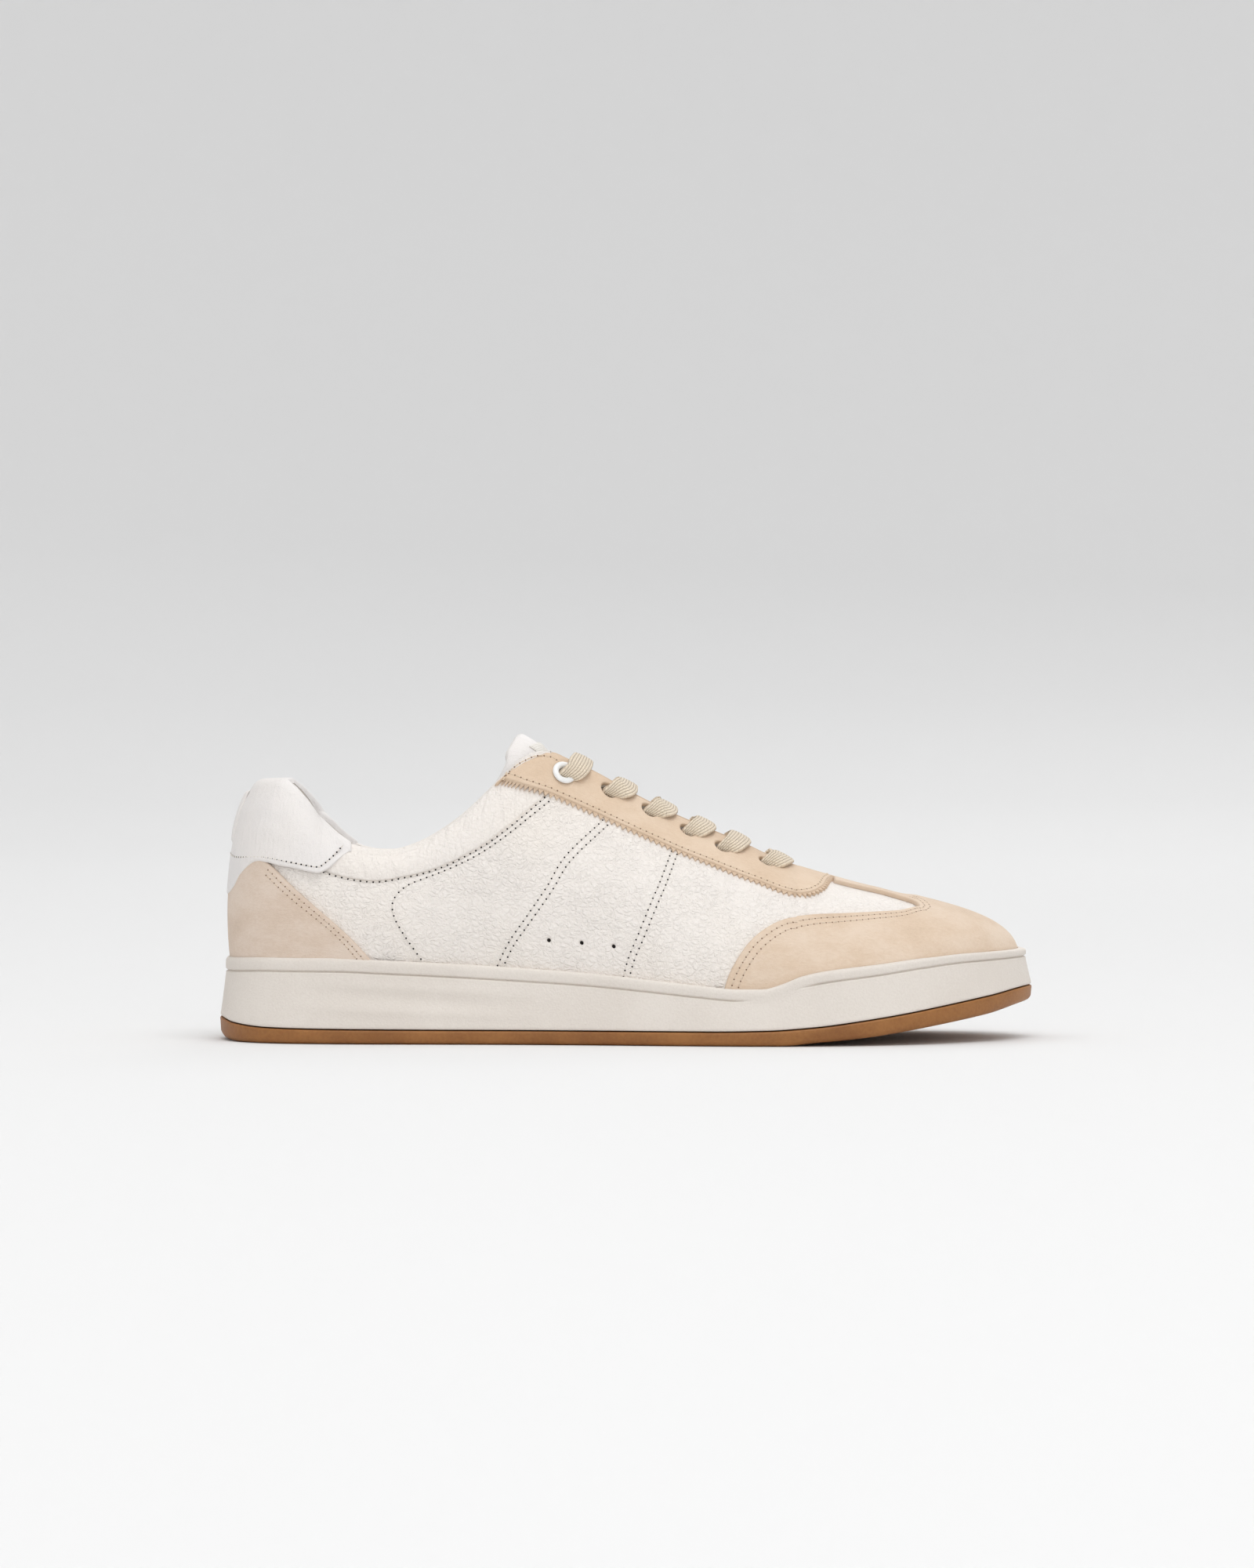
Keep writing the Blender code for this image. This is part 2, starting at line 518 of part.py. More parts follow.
# ------------------------------------------------------- outlines on the side of the upper, as (girth, z)
SEAM = [(0, 68.5), (20, 68.2), (40, 67), (52, 64.6), (62, 61.4), (70, 59.6), (78, 59), (87, 60.4),
        (95, 62.2), (103, 65), (111, 69), (118, 73.2), (126, 79.2), (133, 85), (140, 91)]
COLLAR_END = 140.0
COLLAR_U = np.linspace(GAP / 2, COLLAR_END, 20)      # stations shared by all the layers of the collar
ROLL_W = np.linspace(1, 2, 7)
TAB_EDGE = [(0, 53), (9.4, 54.1), (15.7, 56.7), (20.3, 60.9), (28.3, 65.5), (34.4, 65.6), (40.4, 64.5),
            (47, 63.5), (53, 62.2), (56.6, 61.8), (59.5, 62.9), (62, 64.8), (65.6, 68.0), (68.2, 69.9)]
HEEL_EDGE = [(35.5, 65.2), (38.3, 63.4), (47.1, 56.3), (58, 47.6), (67.9, 38.9), (75.4, 31), (80, 26)]
EYESTAY_LOW = [(121, 95), (127.7, 93.4), (134.4, 91.6), (139.6, 90), (153.5, 84), (163.3, 79.6),
               (174.6, 74.4), (188.7, 68.2), (199, 64.2), (209.6, 60), (216.8, 57.4), (223.7, 54.7),
               (229.2, 53.2), (233.5, 53), (237.8, 54), (241, 55.8)]
TOE_EDGE = [(203.8, 20.5), (205.6, 25.8), (208.7, 31.4), (212.8, 37), (217.5, 41), (223, 44), (228.5, 45.4),
            (236.5, 46.2), (248, 46.4), (264, 46.8), (270.5, 47.2), (273.5, 47.9)]
TOE_STRIP = [(257, 22), (255.2, 15), (251.5, 10.6), (246, 8.4), (236, 8.2), (226, 8.8)]      # (X, way down)
QUARTER_FRONT = [(250, 0.4), (255, 5), (259.5, 11), (262, 18), (262.3, 25), (259, 32)]     # (X, way down)
EYELETS = [(145, 97.2), (161.5, 91.0), (176.3, 83.6), (190.5, 76.2), (203.3, 70.2), (219.2, 64.6)]
EYELET_RISE = rise_at(*np.array(EYELETS).T)
HOLE = 3.2


def mirrored(points, side):
    return np.asarray(points, float) * (1, side)


def shifted(line, distance):
    """A polyline moved sideways, to the left of its run for a positive distance."""
    run = np.gradient(line, axis=0)
    run /= np.linalg.norm(run, axis=1)[:, None]
    return line + np.stack([-run[:, 1], run[:, 0]], 1) * distance


def eyelet_holes(side, radius=HOLE):
    return [hole_loop(u, t, side, radius) for (u, _), t in zip(EYELETS, EYELET_RISE)]


def front_edge(extra):
    """Where the quarter stops under the toe overlay, from the crest to the feather edge, as (X, way down)."""
    low = to_top(TOE_EDGE[:-2], 1.0)[::-1]
    low = shifted(low, -5.0)
    line = np.vstack([QUARTER_FRONT, low, [(low[-1, 0] + 2, UNROLL - 0.4)]])
    return shifted(line, -extra)


def toe_arc(down, start=90, stop=-90, count=15):
    """Points round the toe at one distance from the pole."""
    turn = np.radians(np.linspace(start, stop, count))
    return np.stack([TOE_X + down * np.cos(turn), down * np.sin(turn)], 1)


def sides():
    """White leather of both sides: the quarter below the collar seam and the collar panel above it."""
    for side, word in ((LATERAL, "lateral"), (MEDIAL, "medial")):
        seam = to_top(SEAM, 1.0)
        start = GAP / 2 - SHIFT
        foot = [(start, UNROLL - 0.4), (start, seam[0, 1] + 2 * GAP)]
        along = seam[1:] + (0, 2 * GAP)
        along[-1, 0] += GAP
        ahead = [(along[-1, 0], 0.2), (211, 0.2), (212.5, 0.4), (235, 0.4)]
        loop = mirrored(np.vstack([foot, along, ahead, front_edge(0)]), side)
        panel("quarter_" + word, [resample(loop, CELL)] + eyelet_holes(side), 0.0, LEATHER, white_leather)
        u = COLLAR_U
        low = np.interp(u - SHIFT, seam[:, 0], 1 - seam[:, 1] / UNROLL)
        rows = np.concatenate([np.linspace(0, 1, 5), ROLL_W[1:4], [1.58]])
        over_top("collar_panel_" + word, u, side, low, rows, 0.0, LEATHER, white_leather)


def over_top(name, u, side, low, rows, top, bottom, paint):
    """A sheet from the height low up the outside and on over the rolled top."""
    u = np.asarray(u)[:, None]
    w = np.where(rows[None, :] <= 1, low[:, None] + (1 - low[:, None]) * rows[None, :], rows[None, :])
    outer, inner = skin(np.abs(u), w, side, top), skin(np.abs(u), w, side, bottom)
    return swept(name, np.concatenate([outer, inner[:, ::-1]], 1), paint)


def heel_tab():
    """Smooth leather tab that wraps the padded collar round the heel."""
    u = np.sort(np.concatenate([COLLAR_U[COLLAR_U < 67], [61, 68.2]]))
    u = np.concatenate([-u[::-1], u])
    low = np.interp(np.abs(u), [q for q, _ in TAB_EDGE], np.minimum(rise_at(*np.array(TAB_EDGE).T), 0.985))
    side = np.where(u < 0, LATERAL, MEDIAL)[:, None]
    rows = np.concatenate([np.linspace(0, 1, 6), ROLL_W[1:4], [1.56]])
    over_top("heel_tab", u, side, low, rows, -GAP - SUEDE - 0.5, -GAP - 0.5, smooth_leather)


def heel_overlay():
    """Suede counter cover, with its slanted front edges."""
    tab = to_top(TAB_EDGE[:5], 1.0) + (0, 2 * GAP)
    half = np.vstack([tab, to_top(HEEL_EDGE, 1.0), [(64, UNROLL - 0.4)]])
    # the outer side lies on negative girth, so the pattern is unrolled as a strip about the heel's back
    strip = half[:, 0] + SHIFT
    loop = np.vstack([np.stack([strip, half[:, 1]], 1), np.stack([-strip[::-1], half[::-1, 1]], 1)[:-1]])
    flat, faces = triangles_of([resample(loop, CELL)], CELL)
    side = np.where(flat[:, 0] < 0, LATERAL, MEDIAL)
    w = 1 - flat[:, 1] / UNROLL
    outer = skin(np.abs(flat[:, 0]), w, side, -GAP - SUEDE)
    inner = skin(np.abs(flat[:, 0]), w, side, -GAP)
    mesh_object("heel_overlay", np.vstack([outer, inner]), sheet_faces(flat, faces), suede_pale)


def heel_strip(name, low, high, half, top, bottom, paint, columns=5, rows=6):
    """A plain strip over the heel's back between two heights."""
    u = np.linspace(-half, half, columns)
    sections = []
    for q in u:
        t = np.linspace(rise_at(abs(q), low)[0], rise_at(abs(q), high)[0], rows)
        outer, inner = (skin(abs(q), t, LATERAL if q < 0 else MEDIAL, d) for d in (top, bottom))
        sections.append(np.vstack([outer, inner[::-1]]))
    swept(name, sections, paint)


def front_pieces():
    """Vamp base, toe overlay, eyestay and the linings and stiffeners behind them."""
    edge = front_edge(1.0)
    edge[0] = (251.2, 0.0)
    edge[-1, 1] = UNROLL - 0.4
    vamp = np.vstack([mirrored(edge, 1)[::-1], mirrored(edge[1:], -1), [(256, -(UNROLL - 0.4))],
                      toe_arc(UNROLL - 0.4, -85, 85), [(256, UNROLL - 0.4)]])
    panel("vamp", [resample(vamp, CELL)], 0.0, LEATHER, white_leather)

    low = to_top(TOE_EDGE, 1.0)
    half = np.vstack([[(low[0, 0] - 1.2, UNROLL - 0.4)], low, TOE_STRIP])
    overlay = np.vstack([half, mirrored(half, -1)[::-1], [(256, -(UNROLL - 0.4))],
                         toe_arc(UNROLL - 0.4, -85, 85), [(256, UNROLL - 0.4)]])
    panel("toe_overlay", [resample(overlay, CELL)], -GAP - SUEDE - 0.1, -GAP - 0.1, suede)

    low = to_top(EYESTAY_LOW, 1.0)
    half = np.vstack([[(102.6, 0.25)], low[1:], [(224.6, 9)]])
    throat = [(120, -0.25), (211, -0.25), (212.5, 0), (211, 0.25), (120, 0.25)]
    eyestay = np.vstack([half, mirrored(half, -1)[::-1], throat])
    panel("eyestay", [resample(eyestay, CELL)] + eyelet_holes(LATERAL) + eyelet_holes(MEDIAL),
          -GAP - SUEDE, -GAP, suede)

    start = COLLAR_END - SHIFT + 0.9
    band = [(start, 20), (150, 18), (180, 16), (206, 16), (210, 12), (215, 5)]
    lining = np.vstack([band[::-1], [(start, UNROLL - 1)], [(256, UNROLL - 1)], toe_arc(UNROLL - 1, 85, -85),
                        [(256, 1 - UNROLL)], [(start, 1 - UNROLL)], mirrored(band, -1), [(217, 0)]])
    panel("vamp_lining", [resample(lining, 10)], SHELL - LINING, SHELL, lining_cloth, 10)
    puff = np.vstack([[(243, -(UNROLL - 1)), (248, -62), (252, -42), (254, -20), (254, 20), (252, 42), (248, 62),
                       (243, UNROLL - 1), (256, UNROLL - 1)], toe_arc(UNROLL - 1, 85, -85), [(256, 1 - UNROLL)]])
    panel("toe_puff", [resample(puff, CELL)], LEATHER + GAP, LEATHER + GAP + STIFFENER, stiff, 9.5)
    for side, word in ((LATERAL, "lateral"), (MEDIAL, "medial")):
        band = mirrored([(start, 0.4), (start, 19), (150, 17), (180, 15), (205, 15), (209, 9), (209, 0.4)], side)
        panel("eyelet_backing_" + word, [resample(band, CELL)] + eyelet_holes(side), LEATHER + GAP,
              LEATHER + GAP + STIFFENER - 0.2, stiff)


def padding():
    """Collar foam, collar lining and heel counter."""
    u = np.concatenate([-COLLAR_U[::-1], COLLAR_U])
    u = u[np.abs(u) < 118]
    side = np.where(u < 0, LATERAL, MEDIAL)[:, None]
    low = 0.53
    rows = np.concatenate([np.linspace(low, 1, 5)[:-1], ROLL_W, np.linspace(2, 3 - low, 5)[1:]])
    sections = skin(np.abs(u)[:, None], rows[None, :], side, LEATHER + GAP + 0.4)
    swept("collar_foam", sections, foam)

    u = np.concatenate([-COLLAR_U[::-1], COLLAR_U])
    side = np.where(u < 0, LATERAL, MEDIAL)[:, None]
    rows = np.concatenate([[1.63], ROLL_W[5:], np.linspace(2, 2.47, 5)[1:], [2.64, 2.8, 2.985]])
    outer = skin(np.abs(u)[:, None], rows[None, :], side, 0.0)
    inner = skin(np.abs(u)[:, None], rows[None, :], side, LINING)
    swept("collar_lining", np.concatenate([outer, inner[:, ::-1]], 1), lining_cloth)

    u = np.linspace(-90, 90, 27)
    side = np.where(u < 0, LATERAL, MEDIAL)[:, None]
    top = 0.505 - 0.25 * smooth_step((np.abs(u) - 60) / 30)
    t = 0.012 + (top[:, None] - 0.012) * np.linspace(0, 1, 5)[None, :]
    outer, inner = (skin(np.abs(u)[:, None], t, side, LEATHER + GAP + d) for d in (0, STIFFENER))
    swept("heel_counter", np.concatenate([outer, inner[:, ::-1]], 1), stiff)


sides()
heel_tab()
heel_overlay()
heel_strip("back_strip", 73, 89, 6.0, -3.5, -2.7, smooth_leather)
front_pieces()
padding()

# ---------------------------------------------------------------- tongue
HINGE = Vector((0.0715, 0, 0.0505))   # a point on the tongue's hinge line, which runs across the shoe (m)
TONGUE_DEPTH = smooth_line([(112, 11.8), (120, 11.2), (130, 8.8), (139, 7.2), (220, 7.2), (232, 5.6),
                            (244, 5.4)])
TONGUE_LOW = smooth_line([(112, 0.87), (125, 0.85), (150, 0.76), (185, 0.66), (244, 0.72)])
TONGUE_BASE = 240.0
TONGUE_LEATHER, TONGUE_LINING = 1.1, 0.9


def tongue_face(s, v):
    """The tongue's front face. s runs 0 at the base to 1 at the top, v is -1 to 1 across."""
    across = np.abs(v)
    corner = 3.0 * np.clip((across - 0.75) / 0.25, 0, 1) ** 2
    u = TONGUE_BASE + s * (135 - 17 * across ** 1.4 + corner - TONGUE_BASE)
    side = np.where(v < 0, LATERAL, MEDIAL)
    split, high = 0.4, 0.93
    share = np.clip((across - split) / (1 - split), 0, 1)
    top = np.minimum(high + 0.06 * smooth_step((150 - u) / 25), 0.985)
    t = top - share * (top - TONGUE_LOW(u))
    depth = TONGUE_DEPTH(u)
    ends, ups = [], []
    for hand in (LATERAL, MEDIAL):
        point, normal, up = upper_frame(u, top, np.full_like(u, hand))
        ends.append(point - normal * depth[..., None])
        ups.append(up)
    point, normal, up = upper_frame(u, t, side)
    flank = point - normal * depth[..., None]
    c = np.clip((v / split + 1) / 2, 0, 1)[..., None]
    handle = np.linalg.norm(ends[1] - ends[0], axis=-1, keepdims=True) * 0.42
    bridge = ((1 - c) ** 3 * ends[0] + 3 * c * (1 - c) ** 2 * (ends[0] + ups[0] * handle)
              + 3 * c * c * (1 - c) * (ends[1] + ups[1] * handle) + c ** 3 * ends[1])
    made = np.where((across >= split)[..., None], flank, bridge)
    lift = 9.5 * smooth_step((148 - u) / 20)
    return made + lift[..., None] * np.array([-0.45, 0, 0.89])


def tongue_layers():
    """Face leather, foam and brown lining of the tongue, and the woven label at its top."""
    rows, cols = 15, 11
    s, v = np.meshgrid(np.linspace(0, 1, rows), np.linspace(-1, 1, cols), indexing="ij")

    def at(s, v):
        point = tongue_face(s, v)
        d = 0.006
        along = tongue_face(s + d, v) - tongue_face(s - d, v)
        across = tongue_face(s, np.clip(v + d * 2, -1, 1)) - tongue_face(s, np.clip(v - d * 2, -1, 1))
        normal = np.cross(across, along)
        return point, normal / np.linalg.norm(normal, axis=-1, keepdims=True)

    def layer(name, s, v, top, bottom, paint):
        point, normal = at(s, v)
        outer = point - normal * np.broadcast_to(top, s.shape)[..., None]
        inner = point - normal * np.broadcast_to(bottom, s.shape)[..., None]
        swept(name, np.concatenate([outer, inner[:, ::-1]], 1), paint)

    def plump(s, v):
        side_fall = smooth_step((1 - np.abs(v)) / 0.4)
        return 0.5 + 3.0 * side_fall * smooth_step((s - 0.05) / 0.3) * smooth_step((1.04 - s) / 0.15)

    layer("tongue_face", s, v, 0.0, TONGUE_LEATHER, smooth_leather)
    under = TONGUE_LEATHER + 1.6 * GAP
    inner = (slice(2, -1), slice(1, -1))
    layer("tongue_foam", s[inner], v[inner], under + 0.15, under - 0.2 + plump(s, v)[inner], foam)
    back = under + plump(s, v) + 2.3 * GAP
    layer("tongue_lining", s, v, back, back + TONGUE_LINING, brown_lining)
    label_s, label_v = np.meshgrid(np.linspace(0.86, 0.965, 4), np.linspace(-0.3, 0.3, 5), indexing="ij")
    layer("tongue_label", label_s, label_v, -1.4, -0.9, label_cloth)


tongue_layers()
for layer_name in ("tongue_face", "tongue_foam", "tongue_lining", "tongue_label"):
    piece = bpy.data.objects[layer_name]
    piece.data.transform(Matrix.Translation(-HINGE))
    piece.location = HINGE

# ---------------------------------------------------------------- eyelet rings and lace
RING_PROFILE = [(2.1, -4.3), (2.45, -4.3), (2.45, 0.45), (4.2, 0.45), (4.5, 0.8), (4.0, 1.2), (3.2, 1.3),
                (2.4, 1.1)]
LACE_HALF_WIDTH, LACE_HALF_THICK = 3.8, 0.75
HOLE_HALF_WIDTH, HOLE_HALF_THICK = 1.75, 1.45
RUN_DEPTH = SHELL + 1.35      # the lace's runs behind the eyelets, between lining and tongue
BAR_LIFT = GAP * 2 + SUEDE + 0.8 + LACE_HALF_THICK
TIP_LENGTH, TIP_RADIUS = 22.0, 1.7


def eyelet_ring(name, side):
    """Rolled eyelet: a flange on the eyestay and a barrel through the layers."""
    u, t = EYELETS[0][0], EYELET_RISE[0]
    centre = skin(u, t, side, -GAP - SUEDE)
    _, normal, up = upper_frame(np.array([u]), np.array([t]), np.array([side]))
    normal, up = normal[0], up[0]
    across = np.cross(normal, up)
    sections = []
    for turn in np.arange(16) / 16 * 2 * math.pi:
        out = across * math.cos(turn) + up * math.sin(turn)
        sections.append([centre + out * r + normal * h for r, h in RING_PROFILE])
    swept(name, sections, ring_white, closed_run=True)


class Path:
    """Way points of the lace: place, face normal, half width and half thickness."""

    def __init__(self):
        self.place, self.face, self.size = [], [], []

    def add(self, place, face, wide, thick):
        self.place.append(np.asarray(place, float))
        self.face.append(np.asarray(face, float))
        self.size.append((wide, thick))

    def hole(self, i, side, rising):
        """Through eyelet i, upwards or downwards, with its way points ordered along the lace."""
        u, t = EYELETS[i][0], EYELET_RISE[i]
        _, normal, up = (a[0] for a in upper_frame(np.array([u]), np.array([t]), np.array([side])))
        flange = 1.0 if i == 0 else 0.0
        steps = [(RUN_DEPTH - 0.4, 0.0, normal - up * 0.4, 1.9, 1.0), (RUN_DEPTH - 2.6, 0.05, -up, 1.75, 1.4),
                 (0.4, 0.1, -up, HOLE_HALF_WIDTH, HOLE_HALF_THICK),
                 (-2.4 - flange, 0.4, normal - up, 1.9, 1.4),
                 (-BAR_LIFT - 0.5 - flange, 2.6, normal - up * 0.15, 2.9, 1.05)]
        steps = steps if rising else steps[::-1]
        for depth, inward, face, wide, thick in steps:
            self.add(skin(u, t, side, depth) + up * inward, face, wide, thick)

    def bar(self, i, start):
        """Over the throat from eyelet i on one side to eyelet i on the other."""
        u = EYELETS[i][0]
        self.hole(i, start, True)
        ends = []
        for side in (start, -start):
            point, normal, up = (a[0] for a in upper_frame(np.array([u]), np.array([0.99]), np.array([side])))
            ends.append((point + normal * BAR_LIFT, normal))
        middle = (ends[0][0] + ends[1][0]) / 2
        fall = np.array([0.45, 0, 0.89])
        self.add(ends[0][0], ends[0][1], LACE_HALF_WIDTH, LACE_HALF_THICK)
        self.add(middle + fall * BAR_RISE[i], fall, LACE_HALF_WIDTH, LACE_HALF_THICK)
        self.add(ends[1][0], ends[1][1], LACE_HALF_WIDTH, LACE_HALF_THICK)
        self.hole(i, -start, False)

    def run(self, i, j, side, lane):
        """Behind the eyelets from hole i to hole j, lane mm towards the edge."""
        for share in ((0.3, 0.7) if abs(i - j) == 1 else (0.16, 0.38, 0.62, 0.84)):
            u = EYELETS[i][0] + (EYELETS[j][0] - EYELETS[i][0]) * share
            t = np.interp(u, [e[0] for e in EYELETS], EYELET_RISE)
            point, normal, up = (a[0] for a in upper_frame(np.array([u]), np.array([t]), np.array([side])))
            self.add(point - normal * RUN_DEPTH + up * lane, normal, 2.0, LACE_HALF_THICK)

    def tail(self, i, side, level, outward):
        """A spare end tucked down beside the tongue."""
        places = []
        for share in (0.12, 0.34, 0.56, 0.78, 1.0):
            u = EYELETS[i][0] + 34 * share ** 1.5
            t = EYELET_RISE[i] + (level - EYELET_RISE[i]) * math.sin(share * math.pi / 2)
            point, normal, up = (a[0] for a in upper_frame(np.array([u]), np.array([t]), np.array([side])))
            places.append((point - normal * (RUN_DEPTH + 0.3 + 1.6 * share), normal))
        for place, normal in places if outward else places[::-1]:
            self.add(place, normal, 2.2, LACE_HALF_THICK)


BAR_RISE = [2.0, 1.5, 1.2, 1.0, 0.8, 0.6]


def spline(values, per_leg):
    """Catmull-Rom curve through the rows of values."""
    v = np.asarray(values, float)
    v = np.vstack([2 * v[0] - v[1], v, 2 * v[-1] - v[-2]])
    made = []
    for i in range(1, len(v) - 2):
        for s in np.arange(per_leg) / per_leg:
            made.append(0.5 * (2 * v[i] + (v[i + 1] - v[i - 1]) * s
                               + (2 * v[i - 1] - 5 * v[i] + 4 * v[i + 1] - v[i + 2]) * s * s
                               + (3 * v[i] - v[i - 1] - 3 * v[i + 1] + v[i + 2]) * s ** 3))
    made.append(v[-2])
    return np.array(made)


def lace():
    """One flat lace: a straight bar over each pair of eyelets, its two ends tucked in on the inner side."""
    path = Path()
    path.tail(0, MEDIAL, 0.42, False)
    path.bar(0, MEDIAL)
    path.run(0, 2, LATERAL, -4.8)
    path.bar(2, LATERAL)
    path.run(2, 4, MEDIAL, -4.8)
    path.bar(4, MEDIAL)
    path.run(4, 5, LATERAL, 0)
    path.bar(5, LATERAL)
    path.run(5, 3, MEDIAL, 4.8)
    path.bar(3, MEDIAL)
    path.run(3, 1, LATERAL, 4.8)
    path.bar(1, LATERAL)
    path.tail(1, MEDIAL, 0.56, True)
    place, face, size = (spline(a, 2) for a in (path.place, path.face, path.size))
    along = np.gradient(place, axis=0)
    along /= np.linalg.norm(along, axis=1)[:, None]
    face -= (face * along).sum(1)[:, None] * along
    face /= np.linalg.norm(face, axis=1)[:, None]
    wide = np.cross(along, face)
    corners = [(1, 0), (0.62, 1), (-0.62, 1), (-1, 0), (-0.62, -1), (0.62, -1)]
    sections = np.stack([place + wide * size[:, :1] * a + face * size[:, 1:] * b for a, b in corners], 1)
    swept("lace", sections, lace_cotton)
    for name, end, way in (("lace_tip_a", 0, -1), ("lace_tip_b", -1, 1)):
        start = place[end] + along[end] * way * GAP
        ring_at = [wide[end] * math.cos(a) + face[end] * math.sin(a) for a in np.arange(8) / 8 * 2 * math.pi]
        tube = [[start + along[end] * way * run + out * TIP_RADIUS * slim for out in ring_at]
                for run, slim in ((0, 0.8), (1, 1), (TIP_LENGTH - 1, 1), (TIP_LENGTH, 0.7))]
        swept(name, tube, tip_plastic)
    print("lace length", np.linalg.norm(np.diff(place, axis=0), axis=1).sum())


eyelet_ring("eyelet_ring_lateral", LATERAL)
eyelet_ring("eyelet_ring_medial", MEDIAL)
lace()
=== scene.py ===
import math

import bpy
import numpy as np
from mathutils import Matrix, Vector
from mathutils.geometry import delaunay_2d_cdt


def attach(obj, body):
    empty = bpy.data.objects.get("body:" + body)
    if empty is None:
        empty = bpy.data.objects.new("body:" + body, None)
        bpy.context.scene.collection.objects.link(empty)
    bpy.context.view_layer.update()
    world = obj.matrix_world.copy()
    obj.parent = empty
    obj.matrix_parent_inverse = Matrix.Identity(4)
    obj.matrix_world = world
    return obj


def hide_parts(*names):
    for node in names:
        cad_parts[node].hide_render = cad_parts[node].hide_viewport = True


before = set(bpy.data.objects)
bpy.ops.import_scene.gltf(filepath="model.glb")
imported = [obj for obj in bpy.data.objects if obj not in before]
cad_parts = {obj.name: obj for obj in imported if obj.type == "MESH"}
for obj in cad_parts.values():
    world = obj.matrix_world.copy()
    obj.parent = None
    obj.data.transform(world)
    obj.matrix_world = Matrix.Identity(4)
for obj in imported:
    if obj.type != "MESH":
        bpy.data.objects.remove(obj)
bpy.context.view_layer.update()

# Lengths are millimetres, with X counted from the heel's rear edge, until a mesh is made.
mm = 0.001
shoeMiddle = np.array([149.78, 0.025, 0.0])
outer, inner = -1.0, 1.0      # the outer side of the foot lies towards -Y


# ------- curves and the upper's base surface

def smoothLine(knots):
    # monotone cubic through the knots, flat beyond the ends
    x, y = np.array(knots, float).T
    step = np.diff(x)
    slope = np.diff(y) / step
    tangent = np.zeros_like(x)
    w1, w2 = 2 * step[1:] + step[:-1], step[1:] + 2 * step[:-1]
    product = slope[:-1] * slope[1:]
    safe = np.where(product > 0, product, 1)
    mean = (w1 + w2) * safe / (w1 * slope[1:] + w2 * slope[:-1] + (product <= 0))
    tangent[1:-1] = np.where(product > 0, mean, 0)

    def at(value):
        value = np.clip(np.asarray(value, float), x[0], x[-1])
        i = np.clip(np.searchsorted(x, value) - 1, 0, len(step) - 1)
        h, s = step[i], (value - x[i]) / step[i]
        return (y[i] * (1 + 2 * s) * (1 - s) ** 2 + tangent[i] * h * s * (1 - s) ** 2
                + y[i + 1] * s * s * (3 - 2 * s) + tangent[i + 1] * h * s * s * (s - 1))
    return at


def closedCurve(points, count):
    # periodic cubic spline: its bends solve one linear system round the loop
    p = np.array(points, float)
    n = len(p)
    chord = np.linalg.norm(np.roll(p, -1, 0) - p, axis=1)
    knots = np.concatenate([[0], np.cumsum(chord)])
    system, right = np.zeros((n, n)), np.zeros_like(p)
    for i in range(n):
        j = (i + 1) % n
        system[i, i - 1] += chord[i - 1]
        system[i, i] += 2 * (chord[i - 1] + chord[i])
        system[i, j] += chord[i]
        right[i] = 6 * ((p[j] - p[i]) / chord[i] - (p[i] - p[i - 1]) / chord[i - 1])
    bend = np.linalg.solve(system, right)
    at = np.linspace(0, knots[-1], count, endpoint=False)
    i = np.clip(np.searchsorted(knots, at, side="right") - 1, 0, n - 1)
    j, h = (i + 1) % n, chord[i][:, None]
    b = (at - knots[i])[:, None] / h
    a = 1 - b
    return a * p[i] + b * p[j] + ((a ** 3 - a) * bend[i] + (b ** 3 - b) * bend[j]) * h * h / 6


def smoothStep(value):
    value = np.clip(value, 0, 1)
    return value * value * (3 - 2 * value)


def even(points, step):
    # the polyline with points at equal distances along it
    points = np.asarray(points, float)
    run = np.concatenate([[0], np.cumsum(np.linalg.norm(np.diff(points, axis=0), axis=1))])
    at = np.linspace(0, run[-1], max(2, int(round(run[-1] / step)) + 1))
    return np.stack([np.interp(at, run, column) for column in points.T], 1)


def flowing(points, step):
    # Catmull-Rom curve through the points, then set at equal distances
    v = np.asarray(points, float)
    v = np.vstack([2 * v[0] - v[1], v, 2 * v[-1] - v[-2]])
    s = (np.arange(16) / 16)[None, :, None]
    a, b, c, d = (v[i:len(v) - 3 + i, None] for i in range(4))
    made = 0.5 * (2 * b + (c - a) * s + (2 * a - 5 * b + 4 * c - d) * s ** 2
                  + (3 * b - a - 3 * c + d) * s ** 3)
    return even(np.vstack([made.reshape(-1, v.shape[1]), v[-2]]), step)


lastShape = {
    "heelX": 38.0, "heelR": 36.0,      # the heel's sections stand round a vertical axis at this X
    "toeX": 256.0, "toeR": 40.0,       # and the toe's round one at this X
    "featherInset": 7.0,               # the upper's base lies this far inside the widest sole line
    "toeTipY": 9.0,
    "unroll": 75.0,                    # way from the feather edge to the ridge in the flat patterns
    "sole": [(0, 0), (3.6, -17), (13.5, -29.5), (34, -37.5), (65, -40), (100, -41.5), (135, -45), (170, -50.5),
             (200, -53.4), (225, -52), (250, -45.5), (271, -34), (287, -19.5), (296.5, -4.5), (300, 9),
             (297.5, 21), (290, 32), (276, 42), (255, 49.5), (230, 53.2), (203, 52.6), (172, 46.5), (138, 40),
             (105, 36.8), (65, 36.8), (34, 36.2), (13.5, 28.8), (3.6, 17)],
    "footbed": [(0, 19), (60, 19), (105, 18), (155, 15), (181, 13.5), (207, 13.5), (225, 15), (250, 18.5),
                (270, 22), (285, 25), (300, 27)],
}
heelGirth = lastShape["heelR"] * math.pi / 2
girthShift = heelGirth - lastShape["heelX"]      # girth = X + girthShift along the straight sides
toeGirth = lastShape["toeX"] + girthShift
fullGirth = toeGirth + lastShape["toeR"] * math.pi / 2
